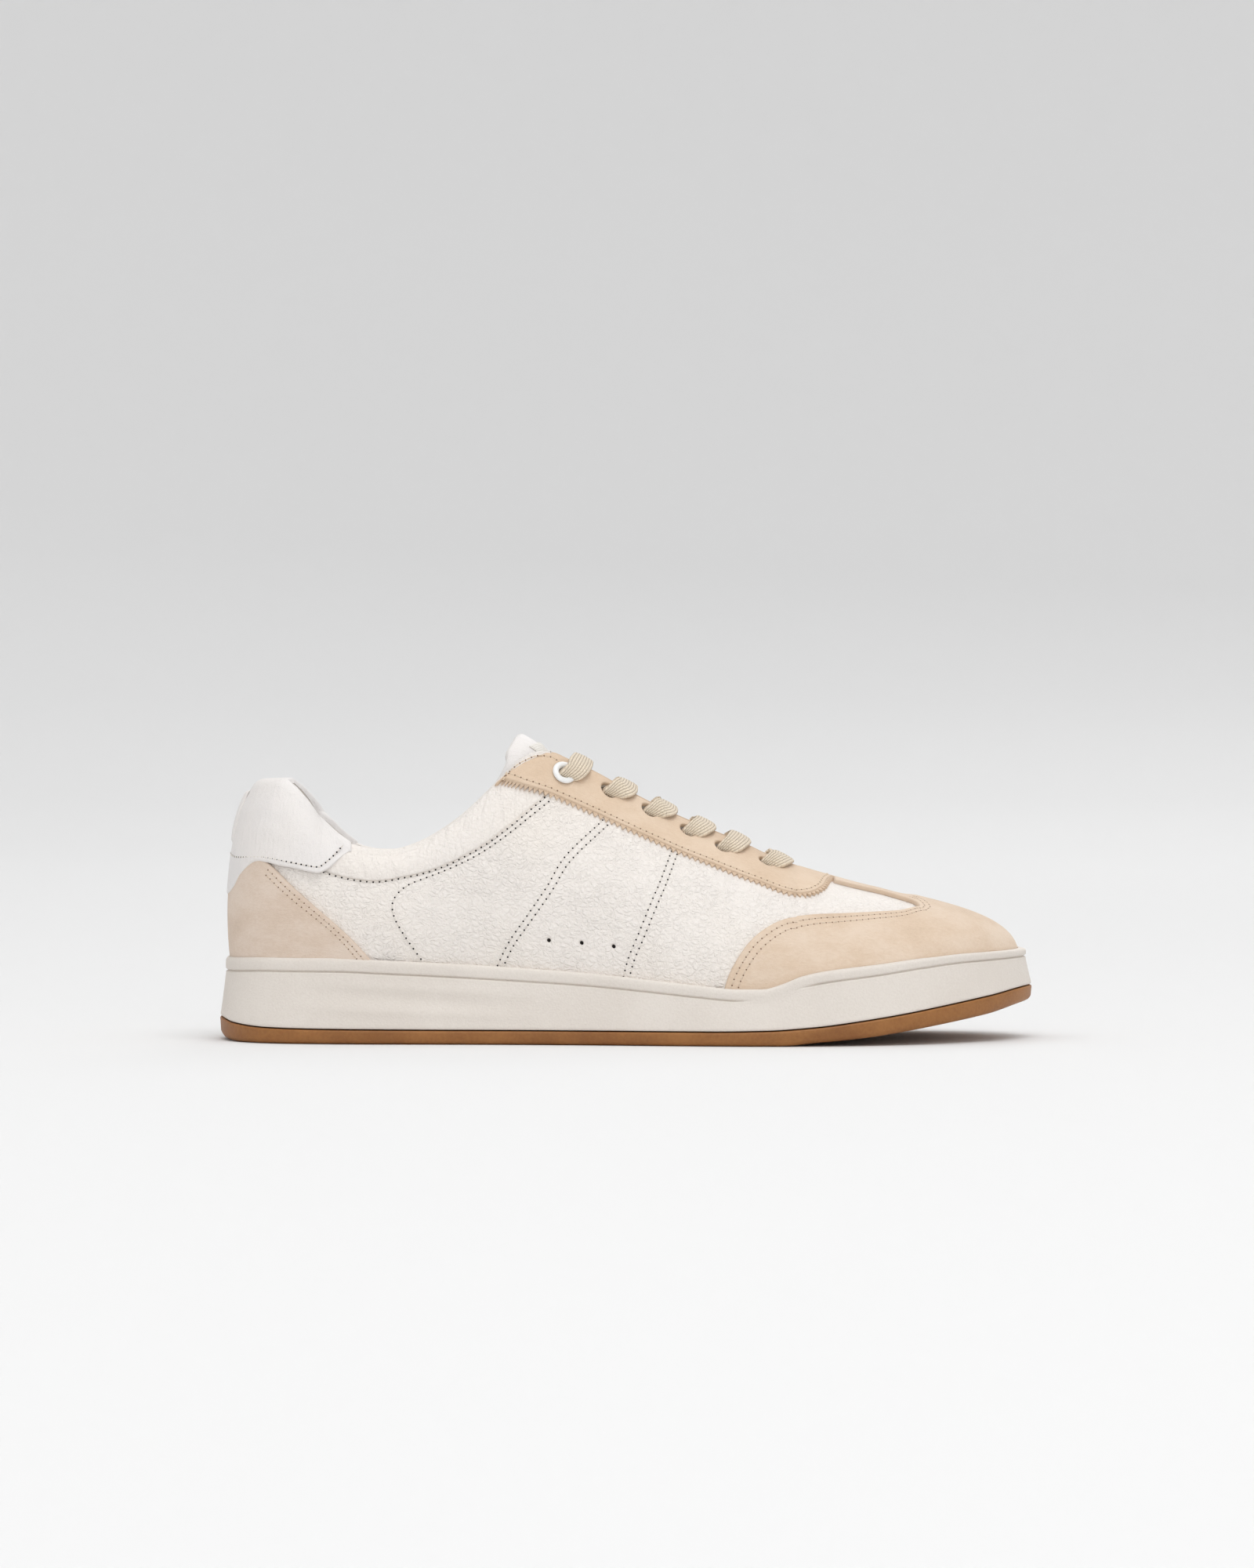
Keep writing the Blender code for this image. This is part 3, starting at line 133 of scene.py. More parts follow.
unroll = lastShape["unroll"]

# Heights, widths and fullness of the upper by girth from the heel's back
upperShape = {
    "edgeZ": [(0, 92.3), (32, 92.3), (41, 89.8), (50, 84.9), (58.5, 77.6), (65, 71.7), (69.5, 69.2), (77, 67.9),
              (83, 67.9), (91.5, 70.3), (100, 74.9), (108.6, 81.4), (117, 89.7), (123.5, 96.8), (130.5, 103.0),
              (136.5, 105.2), (140.5, 105), (145, 103.1), (156.5, 97.5), (171, 89.1), (184.5, 82.2),
              (199, 75.8), (210.5, 71.0), (224.5, 64.4), (233.5, 61.6), (243.5, 58.7), (251.5, 56.4),
              (260, 54.3), (274.5, 51.3), (fullGirth, 51.3)],
    "innerDrop": [(0, 0), (56, 0), (72, 1.4), (95, 1.8), (112, 1.5), (124, 0.9), (138, 0), (fullGirth, 0)],
    "edgeR": [(0, 24.8), (56.5, 25.5), (68, 28.6), (82, 29.5), (99, 28), (116.5, 24.6), (123.5, 22.4),
              (130.5, 19.6), (136.5, 17.2), (145, 14.4), (156.5, 12.6), (171, 11.6), (184.5, 10.6), (199, 9.6),
              (210.5, 8.6), (218.5, 7.4), (223, 6.2), (226.5, 4.4), (229, 2), (230, 0), (fullGirth, 0)],
    "shoulderOut": [(0, 8.2), (56.5, 7.6), (68, 6.5), (99, 8), (116.5, 10.4), (136.5, 14), (156.5, 16.4),
                    (171, 18), (184.5, 19), (199, 21), (210.5, 23), (224.5, 26), (232, 29), (251.5, 27),
                    (toeGirth, 25), (fullGirth, 22)],
    "shoulderDrop": [(0, 14.3), (56.5, 14), (99, 15), (116.5, 18.4), (136.5, 21), (156.5, 15.5), (171, 11),
                     (184.5, 9), (199, 7), (210.5, 4.8), (224.5, 1.6), (232, 0), (fullGirth, 0)],
    "bulge": [(0, 5.5), (116.5, 5.5), (199, 5), (toeGirth, 4.5), (fullGirth, 4)],
    "bulgeZ": [(0, 45), (56.5, 42), (76, 38), (99, 40), (116.5, 46), (136.5, 49), (156.5, 45), (171, 42),
               (184.5, 38.5), (199, 36), (210.5, 34), (232, 33.5), (251.5, 36), (toeGirth, 38),
               (fullGirth, 40)],
    "roll": [(0, 4.3), (100, 4.3), (116, 3.2), (128, 1.9), (fullGirth, 1.9)],   # radius of the rolled top
    "crestSlope": 0.22,
    "shell": 3.9,                 # wall away from the padding
}
edgeZ, innerDrop, edgeR, shoulderOut, shoulderDrop, bulgeOut, bulgeZ, rollRadius = (
    smoothLine(upperShape[k])
    for k in ("edgeZ", "innerDrop", "edgeR", "shoulderOut", "shoulderDrop", "bulge", "bulgeZ", "roll"))
footbedZ = smoothLine(lastShape["footbed"])
soleCurve = closedCurve(lastShape["sole"], 1600)
reachTables = {}


def centreY(x):
    # the ridge swings towards the big toe with the square of the way along
    return lastShape["toeTipY"] * np.clip((np.minimum(x, lastShape["toeX"]) - 150) / 145, 0, 1) ** 2


def reach(u, side, inset):
    # distance from the section's axis out to the sole line moved in by inset, read from three sorted tables
    key = (side, inset)
    if key not in reachTables:
        along = np.roll(soleCurve, -1, 0) - np.roll(soleCurve, 1, 0)
        along /= np.linalg.norm(along, axis=1)[:, None]
        x, y = (soleCurve + np.stack([-along[:, 1], along[:, 0]], 1) * inset).T
        out = side * (y - centreY(x))
        tables = []
        for keep, axis in (((out > 0) & (x > 15) & (x < 285), None), ((x < 60) & (out > -9), -1),
                           ((x > 235) & (out > -9), 1)):
            away = {None: None, -1: lastShape["heelX"] - x[keep], 1: x[keep] - lastShape["toeX"]}[axis]
            where = x[keep] if axis is None else np.arctan2(away, out[keep])
            far = out[keep] if axis is None else np.hypot(away, out[keep])
            order = np.argsort(where)
            tables.append((where[order], far[order]))
        reachTables[key] = tables
    ahead, behind, fore = reachTables[key]
    u = np.asarray(u, float)
    return np.where(u < heelGirth, np.interp((heelGirth - u) / lastShape["heelR"], *behind),
                    np.where(u > toeGirth, np.interp((u - toeGirth) / lastShape["toeR"], *fore),
                             np.interp(u - girthShift, *ahead)))


def station(u, side, r, z):
    # the point r from the section's axis and z high: straight sections between two fans
    heelTurn = np.clip((heelGirth - u) / lastShape["heelR"], 0, None)
    toeTurn = np.clip((u - toeGirth) / lastShape["toeR"], 0, None)
    x = np.clip(u - girthShift, lastShape["heelX"], lastShape["toeX"])
    y = centreY(x) + side * r * np.cos(heelTurn) * np.cos(toeTurn)
    return np.stack(np.broadcast_arrays(x - r * np.sin(heelTurn) + r * np.sin(toeTurn), y, z), -1)


def rawUpper(u, t, side):
    # a cubic Bezier section from feather edge (t 0) to top edge (t 1), by girth u
    side = np.where(u < 0, -side, side)
    u = np.abs(u)
    side = np.where(u > fullGirth, -side, side)
    u = np.where(u > fullGirth, 2 * fullGirth - u, u)
    side = np.where(t > 1, -side, side)
    t = np.where(t > 1, 2 - t, t)
    feather = lastShape["featherInset"]
    outerBase = reach(u, outer, feather)
    base = np.where(side < 0, outerBase, reach(u, inner, feather))
    low = footbedZ(station(u, side, base, 0.0)[..., 0])
    shoulder = edgeR(u) + shoulderOut(u) * base / outerBase
    tilt = (upperShape["crestSlope"] * np.sin(np.clip((u - toeGirth) / lastShape["toeR"], 0, None))
            * shoulder * 1.1)
    edge = edgeZ(u) - np.where(side > 0, innerDrop(u), 0)
    r = ((1 - t) ** 3 * base + 3 * t * (1 - t) ** 2 * (base + bulgeOut(u))
         + 3 * t * t * (1 - t) * shoulder + t ** 3 * edgeR(u))
    z = ((1 - t) ** 3 * low + 3 * t * (1 - t) ** 2 * bulgeZ(u)
         + 3 * t * t * (1 - t) * (edge - shoulderDrop(u) - tilt) + t ** 3 * edge)
    return station(u, side, r, z)


def upperFrame(u, t, side):
    # point, outward normal and upward tangent by central differences
    u, t, side = (a.astype(float) for a in np.broadcast_arrays(u, t, side))
    at = np.clip(t, 0.004, np.where(u > heelGirth + 190, 0.985, 0.996))
    point = rawUpper(u, t, side)
    along = rawUpper(u + 0.5, at, side) - rawUpper(u - 0.5, at, side)
    up = rawUpper(u, at + 0.004, side) - rawUpper(u, at - 0.004, side)
    normal = np.cross(along, up) * -side[..., None]
    normal /= np.maximum(np.linalg.norm(normal, axis=-1, keepdims=True), 1e-9)
    up /= np.maximum(np.linalg.norm(up, axis=-1, keepdims=True), 1e-9)
    return point, normal, up


def skin(u, w, side, depth):
    # depth below the skin: w 0 to 1 up the outside, 1 to 2 over the rolled top, 2 to 3 down the inside
    u, w, side, depth = (a.astype(float) for a in np.broadcast_arrays(u, w, side, depth))
    t = np.where(w <= 1, w, np.where(w < 2, 1.0, 3 - w))
    point, normal, up = upperFrame(u, t, side)
    radius = rollRadius(np.abs(u))
    turn = math.pi * np.clip(w - 1, 0, 1)
    over = radius + (radius - depth) * -np.cos(turn)
    rise = np.where((w > 1) & (w < 2), (radius - depth) * np.sin(turn), 0)
    wall = upperShape["shell"] + (2 * radius - upperShape["shell"]) * smoothStep((t - 0.45) / 0.5)
    back = np.where(w <= 1, depth, np.where(w < 2, over, wall - depth))
    return point - normal * back[..., None] + up * rise[..., None]


def riseAt(u, z):
    # the t at which the surface is z high, by halving the interval
    u, z = (a.astype(float) for a in np.broadcast_arrays(u, z))
    low, high = np.zeros_like(z), np.ones_like(z)
    for _ in range(20):
        middle = (low + high) / 2
        below = rawUpper(u, middle, np.full_like(z, outer))[..., 2] < z
        low, high = np.where(below, middle, low), np.where(below, high, middle)
    return (low + high) / 2


def flatToSkin(flat):
    # a flat pattern's points as girth, rise and side: the pattern's first number is X, its second the way down
    a, b = np.asarray(flat, float).T
    ahead = np.maximum(a - lastShape["toeX"], 0)
    down = np.hypot(ahead, b)
    turn = np.arctan2(ahead, np.abs(b) + 1e-9)
    u = np.where(a <= lastShape["toeX"], a + girthShift, toeGirth + turn * lastShape["toeR"])
    return u, 1 - down / unroll, np.where(b < 0, outer, inner)


def sideToFlat(points, side=inner):
    # (girth, height) points as a flat pattern
    u, z = np.asarray(points, float).T
    down = (1 - riseAt(u, z)) * unroll
    turn = np.clip((u - toeGirth) / lastShape["toeR"], 0, None)
    x = np.minimum(u - girthShift, lastShape["toeX"]) + down * np.sin(turn)
    return np.stack([x, side * down * np.cos(turn)], 1)


def flipped(points):
    return np.asarray(points, float) * (1, -1)


def shifted(line, distance):
    # a polyline moved to the left of its run
    run = np.gradient(line, axis=0)
    run /= np.linalg.norm(run, axis=1)[:, None]
    return line + np.stack([-run[:, 1], run[:, 0]], 1) * distance


# ------- meshes

def isInside(points, loop):
    # even-odd test, in blocks of points
    a, b = loop, np.roll(loop, -1, 0)
    rise = np.where(b[:, 1] == a[:, 1], 1e-12, b[:, 1] - a[:, 1])
    found = []
    for block in np.array_split(points, max(1, len(points) // 1500)):
        x, y = block[:, None, 0], block[:, None, 1]
        crosses = (a[:, 1] > y) != (b[:, 1] > y)
        at = a[:, 0] + (y - a[:, 1]) / rise * (b[:, 0] - a[:, 0])
        found.append((crosses & (x < at)).sum(1) % 2 == 1)
    return np.concatenate(found)


def distanceTo(points, line, closed=True):
    # the shortest distance from each point to a polyline, in blocks of points
    line = np.asarray(line, float)
    a, b = (line, np.roll(line, -1, 0)) if closed else (line[:-1], line[1:])
    leg = b - a
    square = np.maximum((leg ** 2).sum(-1), 1e-12)
    found = []
    for block in np.array_split(points, max(1, len(points) // 1500)):
        share = np.clip(((block[:, None] - a) * leg).sum(-1) / square, 0, 1)
        found.append(np.linalg.norm(block[:, None] - a - leg * share[..., None], axis=-1).min(1))
    return np.concatenate(found)


def addMesh(name, points, faces, paint, body="shoe", smooth=60, uv=None, rim=None):
    # an object from millimetre points; faces is a list of equal-sided face arrays
    mesh = bpy.data.meshes.new(name)
    points = np.asarray(points, float)
    groups = [np.asarray(f, int) for f in faces if len(f)]
    corner = np.concatenate([f.ravel() for f in groups]).astype(np.int32)
    size = np.concatenate([np.full(len(f), f.shape[1], np.int32) for f in groups])
    mesh.vertices.add(len(points))
    mesh.vertices.foreach_set("co", ((points - shoeMiddle) * mm).astype(np.float32).ravel())
    mesh.loops.add(len(corner))
    mesh.loops.foreach_set("vertex_index", corner)
    mesh.polygons.add(len(size))
    mesh.polygons.foreach_set("loop_start", np.concatenate([[0], np.cumsum(size)[:-1]]).astype(np.int32))
    mesh.polygons.foreach_set("use_smooth", np.ones(len(size), bool))
    mesh.update(calc_edges=True)
    mesh.validate()
    if uv is not None:
        layer = mesh.uv_layers.new(name="run")
        layer.data.foreach_set("uv", np.asarray(uv, np.float32)[corner].ravel())
    if rim is not None:
        layer = mesh.attributes.new("rim", "FLOAT", "POINT")
        layer.data.foreach_set("value", np.asarray(rim, np.float32))
    mesh.materials.append(paint)
    mesh.set_sharp_from_angle(angle=math.radians(smooth))
    made = bpy.data.objects.new(name, mesh)
    bpy.context.scene.collection.objects.link(made)
    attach(made, body)
    return made


def fillLoops(loops, cell, rows):
    # triangles inside the first loop and outside the others, with rows of points close to each edge
    low, high = loops[0].min(0), loops[0].max(0)
    xs, ys = (np.arange(math.floor(a / cell), math.ceil(b / cell) + 1) * cell for a, b in zip(low, high))
    grid = np.stack(np.meshgrid(xs, ys, indexing="ij"), -1)
    grid[1::2, :, 1] += cell / 2
    grid = grid.reshape(-1, 2)
    near = (rows[-1] if rows else 0) + cell * 0.45
    grid = grid[isInside(grid, loops[0])]
    for loop in loops:
        grid = grid[distanceTo(grid, loop) > near]
    for loop in loops[1:]:
        grid = grid[~isInside(grid, loop)]
    extra = []
    for n, loop in enumerate(loops):
        run = np.roll(loop, -1, 0) - np.roll(loop, 1, 0)
        run /= np.maximum(np.linalg.norm(run, axis=1), 1e-9)[:, None]
        area = (loop[:, 0] * np.roll(loop[:, 1], -1) - np.roll(loop[:, 0], -1) * loop[:, 1]).sum()
        inward = np.stack([-run[:, 1], run[:, 0]], 1) * (1 if (area > 0) == (n == 0) else -1)
        for far in rows:
            ring = loop + inward * far
            ring = ring[isInside(ring, loops[0])]
            for other in loops:
                ring = ring[distanceTo(ring, other) > far * 0.8]
            extra.append(ring)
    points = np.vstack(list(loops) + extra + [grid])
    edges, start = [], 0
    for loop in loops:
        edges += [(start + i, start + (i + 1) % len(loop)) for i in range(len(loop))]
        start += len(loop)
    made = delaunay_2d_cdt([Vector(p) for p in points], edges, [], 0, 1e-5)
    flat, faces = np.array([tuple(v) for v in made[0]]), np.array(made[2])
    middle = flat[faces].mean(1)
    good = isInside(middle, loops[0])
    for loop in loops[1:]:
        good &= ~isInside(middle, loop)
    faces = faces[good]
    a, b, c = (flat[faces[:, i]] for i in range(3))
    turned = (b[:, 0] - a[:, 0]) * (c[:, 1] - a[:, 1]) - (b[:, 1] - a[:, 1]) * (c[:, 0] - a[:, 0]) < 0
    faces[turned] = faces[turned][:, ::-1]
    return flat, faces


def sheetFaces(count, faces):
    # the sheet, its back, and a wall of quads round every open edge
    legs = np.vstack([faces[:, [0, 1]], faces[:, [1, 2]], faces[:, [2, 0]]])
    keys = np.sort(legs, 1) @ np.array([count, 1])
    _, first, used = np.unique(keys, return_index=True, return_counts=True)
    rim = legs[first[used == 1]]
    wall = np.stack([rim[:, 1], rim[:, 0], rim[:, 0] + count, rim[:, 1] + count], 1)
    return [faces, faces[:, ::-1] + count, wall]


def cutPanel(name, loops, face, back, paint, cell=1.7, rim=0.5, relief=None, strip=False,
             rows=(0.18, 0.5, 1.1)):
    # a sheet cut to flat loops; its face is rounded down over rim mm at every edge, and lifted by relief
    loops = [np.asarray(loop, float) for loop in loops]
    flat, faces = fillLoops(loops, cell, list(rows))
    if strip:      # a pattern unrolled round the heel's back, girth across
        u, w = np.abs(flat[:, 0]), 1 - flat[:, 1] / unroll
        side = np.where(flat[:, 0] < 0, outer, inner)
    else:
        u, w, side = flatToSkin(flat)
    edge = np.min([distanceTo(flat, loop) for loop in loops], axis=0)
    drop = rim - np.sqrt(np.maximum(rim ** 2 - np.maximum(rim - edge, 0) ** 2, 0))
    lift = relief(flat, u, w, side, edge) if relief else 0.0
    top, under = skin(u, w, side, face + drop - lift), skin(u, w, side, back)
    sheet = sheetFaces(len(flat), faces)
    points = np.vstack([top, under])
    a, b, c = (top[faces[:, i]] for i in range(3))
    outward = (upperFrame(u[faces[:, 0]], np.clip(w[faces[:, 0]], 0, 0.98), side[faces[:, 0]])[1]
               * np.cross(b - a, c - a)).sum()
    if outward < 0:
        sheet = [f[:, ::-1] for f in sheet]
    wide = np.concatenate([edge, np.zeros(len(edge))])
    uv = np.tile(flat / 100, (2, 1))
    return addMesh(name, points, sheet, paint, uv=uv, rim=np.clip(wide / 3, 0, 1))


def gridFaces(rows, cols, closeRows=False, closeCols=False):
    # quads of a grid, its last row or column joined to the first where it is closed
    i = np.arange(rows if closeRows else rows - 1)[:, None]
    k = np.arange(cols if closeCols else cols - 1)[None, :]
    j, m = (i + 1) % rows, (k + 1) % cols
    corners = np.broadcast_arrays(i * cols + k, j * cols + k, j * cols + m, i * cols + m)
    return np.stack(corners, -1).reshape(-1, 4)


def stripCap(count, start, flip):
    # closes a ring whose point k faces point -1-k
    k = np.arange(count // 2 - 1)
    cap = np.stack([k, k + 1, count - 2 - k, count - 1 - k], 1) + start
    return cap[:, ::-1] if flip else cap


def addSwept(name, sections, paint, body="shoe", closedRun=False, uv=None, smooth=60, rim=None):
    # equal closed sections joined in order, their ends closed by strips; turned outward by its volume
    sections = np.asarray(sections, float)
    rows, cols = sections.shape[:2]
    points = sections.reshape(-1, 3)
    faces = [gridFaces(rows, cols, closedRun, True)]
    if not closedRun:
        faces += [stripCap(cols, 0, False), stripCap(cols, (rows - 1) * cols, True)]
    volume = 0.0
    for f in faces:
        for i, j, k in ((0, 1, 2), (0, 2, 3)):
            volume += np.einsum("ij,ij->i", points[f[:, i]], np.cross(points[f[:, j]], points[f[:, k]])).sum()
    if volume < 0:
        faces = [f[:, ::-1] for f in faces]
    return addMesh(name, points, faces, paint, body, smooth, uv, rim)


# ------- finishes

def startMaterial(name, colour, roughness, **values):
    paint = bpy.data.materials.new(name)
    paint.use_nodes = True
    tree = paint.node_tree
    shader = tree.nodes["Principled BSDF"]
    shader.inputs["Base Color"].default_value = (*colour, 1)
    shader.inputs["Roughness"].default_value = roughness
    for key, value in values.items():
        shader.inputs[key.replace("_", " ")].default_value = value
    paint.diffuse_color = (*colour, 1)
    return paint, tree, shader


def node(tree, kind, inputs=(), **settings):
    made = tree.nodes.new(kind)
    for key, value in settings.items():
        setattr(made, key, value)
    for key, value in dict(inputs).items():
        if isinstance(value, bpy.types.NodeSocket):
            tree.links.new(value, made.inputs[key])
        else:
            made.inputs[key].default_value = value
    return made


def objectSpace(tree, scale=(1, 1, 1), turn=(0, 0, 0)):
    where = node(tree, "ShaderNodeTexCoord")
    return node(tree, "ShaderNodeMapping", {"Vector": where.outputs["Object"], "Scale": scale,
                                            "Rotation": turn}).outputs[0]


def noise(tree, where, scale, detail=2.0, rough=0.5):
    made = node(tree, "ShaderNodeTexNoise",
                {"Vector": where, "Scale": scale, "Detail": detail, "Roughness": rough})
    return made.outputs["Fac"]


def maths(tree, kind, a, b=0.0):
    return node(tree, "ShaderNodeMath", {0: a, 1: b}, operation=kind).outputs[0]


def ranged(tree, value, low, high, start=0.0, stop=1.0):
    return node(tree, "ShaderNodeMapRange", {"Value": value, "From Min": low, "From Max": high, "To Min": start,
                                             "To Max": stop}, interpolation_type="SMOOTHSTEP").outputs[0]


def mixed(tree, share, a, b):
    made = node(tree, "ShaderNodeMix", {0: share}, data_type="RGBA")
    for slot, value in ((6, a), (7, b)):
        if isinstance(value, bpy.types.NodeSocket):
            tree.links.new(value, made.inputs[slot])
        else:
            made.inputs[slot].default_value = (*value, 1)
    return made.outputs[2]


def rimShare(tree):
    # 0 at a cut edge, 1 from 3 mm in
    return node(tree, "ShaderNodeAttribute", attribute_name="rim").outputs["Fac"]


def raised(tree, shader, height, distance, strength=1.0):
    bump = node(tree, "ShaderNodeBump", {"Height": height, "Distance": distance, "Strength": strength})
    tree.links.new(bump.outputs[0], shader.inputs["Normal"])


pebbleLeather = {
    # crease: painted shade for the grain's sunk cell borders
    "colour": (0.885, 0.835, 0.79), "crease": (0.80, 0.735, 0.67), "tint": (0.90, 0.835, 0.765),
    "cells": 420.0, "smallCells": 900.0, "relief": 0.00042, "roughness": 0.47,
}


def makePebble(name, values, cross=None):
    # tumbled grain: two sizes of cells with sunk borders, stronger in some patches, and pores; the borders also
    # get a darker colour as painted shade
    paint, tree, shader = startMaterial(name, values["colour"], values["roughness"], Specular_IOR_Level=0.42,
                                        Sheen_Weight=0.04, Sheen_Roughness=0.5)
    where = objectSpace(tree, (1.0, 1.0, 1.22))
    bend = node(tree, "ShaderNodeTexNoise", {"Vector": where, "Scale": 150.0, "Detail": 2.0})
    pull = node(tree, "ShaderNodeVectorMath", {0: bend.outputs["Color"], 1: (0.0042, 0.0042, 0.0042)},
                operation="MULTIPLY").outputs[0]
    bent = node(tree, "ShaderNodeVectorMath", {0: where, 1: pull}, operation="ADD").outputs[0]
    cells = [node(tree, "ShaderNodeTexVoronoi", {"Vector": bent, "Scale": values[k]},
                  feature="DISTANCE_TO_EDGE").outputs["Distance"] for k in ("cells", "smallCells")]
    large = ranged(tree, cells[0], 0.0, 0.32)
    small = ranged(tree, cells[1], 0.0, 0.30)
    patch = ranged(tree, noise(tree, where, 34.0), 0.35, 0.66, 0.72, 1.0)
    grain = maths(tree, "ADD", maths(tree, "MULTIPLY", large, 0.68), maths(tree, "MULTIPLY", small, 0.32))
    grain = maths(tree, "MULTIPLY", grain, patch)
    pores = maths(tree, "MULTIPLY", noise(tree, where, 4200.0, 1.0), 0.10)
    soft = maths(tree, "MULTIPLY", noise(tree, where, 105.0, 3.0), 0.3)
    height = maths(tree, "ADD", maths(tree, "ADD", grain, pores), soft)
    if cross:
        run = node(tree, "ShaderNodeUVMap", uv_map="run").outputs[0]
        run = node(tree, "ShaderNodeMapping", {"Vector": run, "Scale": cross}).outputs[0]
        crossing = ranged(tree, noise(tree, run, 1.0, 3.0, 0.6), 0.33, 0.67)
        height = maths(tree, "ADD", maths(tree, "MULTIPLY", height, 0.45),
                       maths(tree, "MULTIPLY", crossing, 0.85))
    raised(tree, shader, height, values["relief"], 0.9)
    warm = ranged(tree, noise(tree, where, 20.0), 0.4, 0.72)
    body = mixed(tree, maths(tree, "MULTIPLY", warm, 0.55), values["colour"], values["tint"])
    # painted shade: the crease colour fills the sunk cell borders
    creaseShade = maths(tree, "MULTIPLY", maths(tree, "SUBTRACT", 1.0, large), maths(tree, "MULTIPLY", patch, 0.22))
    tree.links.new(mixed(tree, creaseShade, body, values["crease"]), shader.inputs["Base Color"])
    tree.links.new(ranged(tree, grain, 0.0, 1.0, values["roughness"] + 0.12, values["roughness"] - 0.04),
                   shader.inputs["Roughness"])
    return paint


smoothHide = {"colour": (0.83, 0.80, 0.785), "tint": (0.86, 0.82, 0.79), "relief": 0.00022, "roughness": 0.44}


def makeSmoothHide(name, values, wrinkles=(60.0, 14.0, 1.0)):
    # close fine grain with a few long soft wrinkles along the piece
    paint, tree, shader = startMaterial(name, values["colour"], values["roughness"], Specular_IOR_Level=0.4,
                                        Sheen_Weight=0.03, Sheen_Roughness=0.5)
    where = objectSpace(tree)
    fine = node(tree, "ShaderNodeTexVoronoi", {"Vector": where, "Scale": 1500.0}, feature="DISTANCE_TO_EDGE")
    fine = ranged(tree, fine.outputs["Distance"], 0.0, 0.3)
    run = node(tree, "ShaderNodeUVMap", uv_map="run").outputs[0]
    run = node(tree, "ShaderNodeMapping", {"Vector": run, "Scale": wrinkles}).outputs[0]
    long = ranged(tree, noise(tree, run, 1.0, 4.0, 0.55), 0.3, 0.7)
    height = maths(tree, "ADD", maths(tree, "MULTIPLY", fine, 0.22), maths(tree, "MULTIPLY", long, 0.8))
    height = maths(tree, "ADD", height, maths(tree, "MULTIPLY", noise(tree, where, 5200.0, 1.0), 0.12))
    raised(tree, shader, height, values["relief"], 0.8)
    shade = ranged(tree, noise(tree, where, 24.0), 0.35, 0.7)
    tree.links.new(mixed(tree, shade, values["colour"], values["tint"]), shader.inputs["Base Color"])
    return paint


suedeNap = {
    "toe": {"colour": (0.735, 0.575, 0.435), "light": (0.80, 0.655, 0.525), "dark": (0.62, 0.47, 0.345)},
    "eyestay": {"colour": (0.735, 0.565, 0.415), "light": (0.79, 0.63, 0.485), "dark": (0.63, 0.47, 0.335)},
    "heel": {"colour": (0.715, 0.575, 0.465), "light": (0.78, 0.655, 0.555), "dark": (0.60, 0.47, 0.375)},
    "relief": 0.00034,
}


def makeSuede(name, tones):
    # brushed nap: short fibres, finger-stroke patches, and raw darker cut edges
    paint, tree, shader = startMaterial(name, tones["colour"], 0.93, Specular_IOR_Level=0.15,
                                        Sheen_Weight=0.34, Sheen_Roughness=0.42, Sheen_Tint=(1.0, 0.93, 0.85, 1.0))
    where = objectSpace(tree)
    lean = objectSpace(tree, (0.6, 1.0, 1.5), (0.0, 0.5, 0.0))
    fibre = noise(tree, lean, 2600.0, 3.0, 0.65)
    clump = noise(tree, lean, 900.0, 3.0, 0.6)
    stroke = noise(tree, objectSpace(tree, (1.0, 1.0, 2.1), (0.0, 0.35, 0.0)), 42.0, 3.0, 0.55)
    height = maths(tree, "ADD", maths(tree, "MULTIPLY", fibre, 0.5), maths(tree, "MULTIPLY", clump, 0.6))
    height = maths(tree, "ADD", height, maths(tree, "MULTIPLY", noise(tree, where, 130.0, 2.0), 0.9))
    raised(tree, shader, height, suedeNap["relief"], 0.85)
    share = maths(tree, "ADD", maths(tree, "MULTIPLY", stroke, 0.8), maths(tree, "MULTIPLY", clump, 0.35))
    light = mixed(tree, ranged(tree, share, 0.45, 0.72), tones["colour"], tones["light"])
    dark = mixed(tree, ranged(tree, share, 0.50, 0.33, 0.0, 0.55), light, tones["dark"])
    speck = mixed(tree, ranged(tree, fibre, 0.5, 0.72, 0.0, 0.6), dark, tones["light"])
    edge = ranged(tree, rimShare(tree), 0.0, 0.22, 0.55, 0.0)
    tree.links.new(mixed(tree, edge, speck, tones["dark"]), shader.inputs["Base Color"])
    return paint


rubberCup = {"colour": (0.735, 0.675, 0.615), "light": (0.79, 0.735, 0.675), "relief": 0.00018}


def makeRubber(name, values):
    # fine granular skin with slow shading
    paint, tree, shader = startMaterial(name, values["colour"], 0.62, Specular_IOR_Level=0.4)
    where = objectSpace(tree)
    grit = noise(tree, where, 1250.0, 2.0, 0.6)
    cells = node(tree, "ShaderNodeTexVoronoi", {"Vector": where, "Scale": 1500.0}, feature="SMOOTH_F1")
    height = maths(tree, "ADD", maths(tree, "MULTIPLY", grit, 0.7),
                   maths(tree, "MULTIPLY", cells.outputs["Distance"], 0.5))
    raised(tree, shader, height, values["relief"], 0.8)
    shade = maths(tree, "ADD", maths(tree, "MULTIPLY", noise(tree, where, 30.0), 0.6),
                  maths(tree, "MULTIPLY", grit, 0.4))
    tree.links.new(mixed(tree, ranged(tree, shade, 0.35, 0.68), values["colour"], values["light"]),
                   shader.inputs["Base Color"])
    return paint


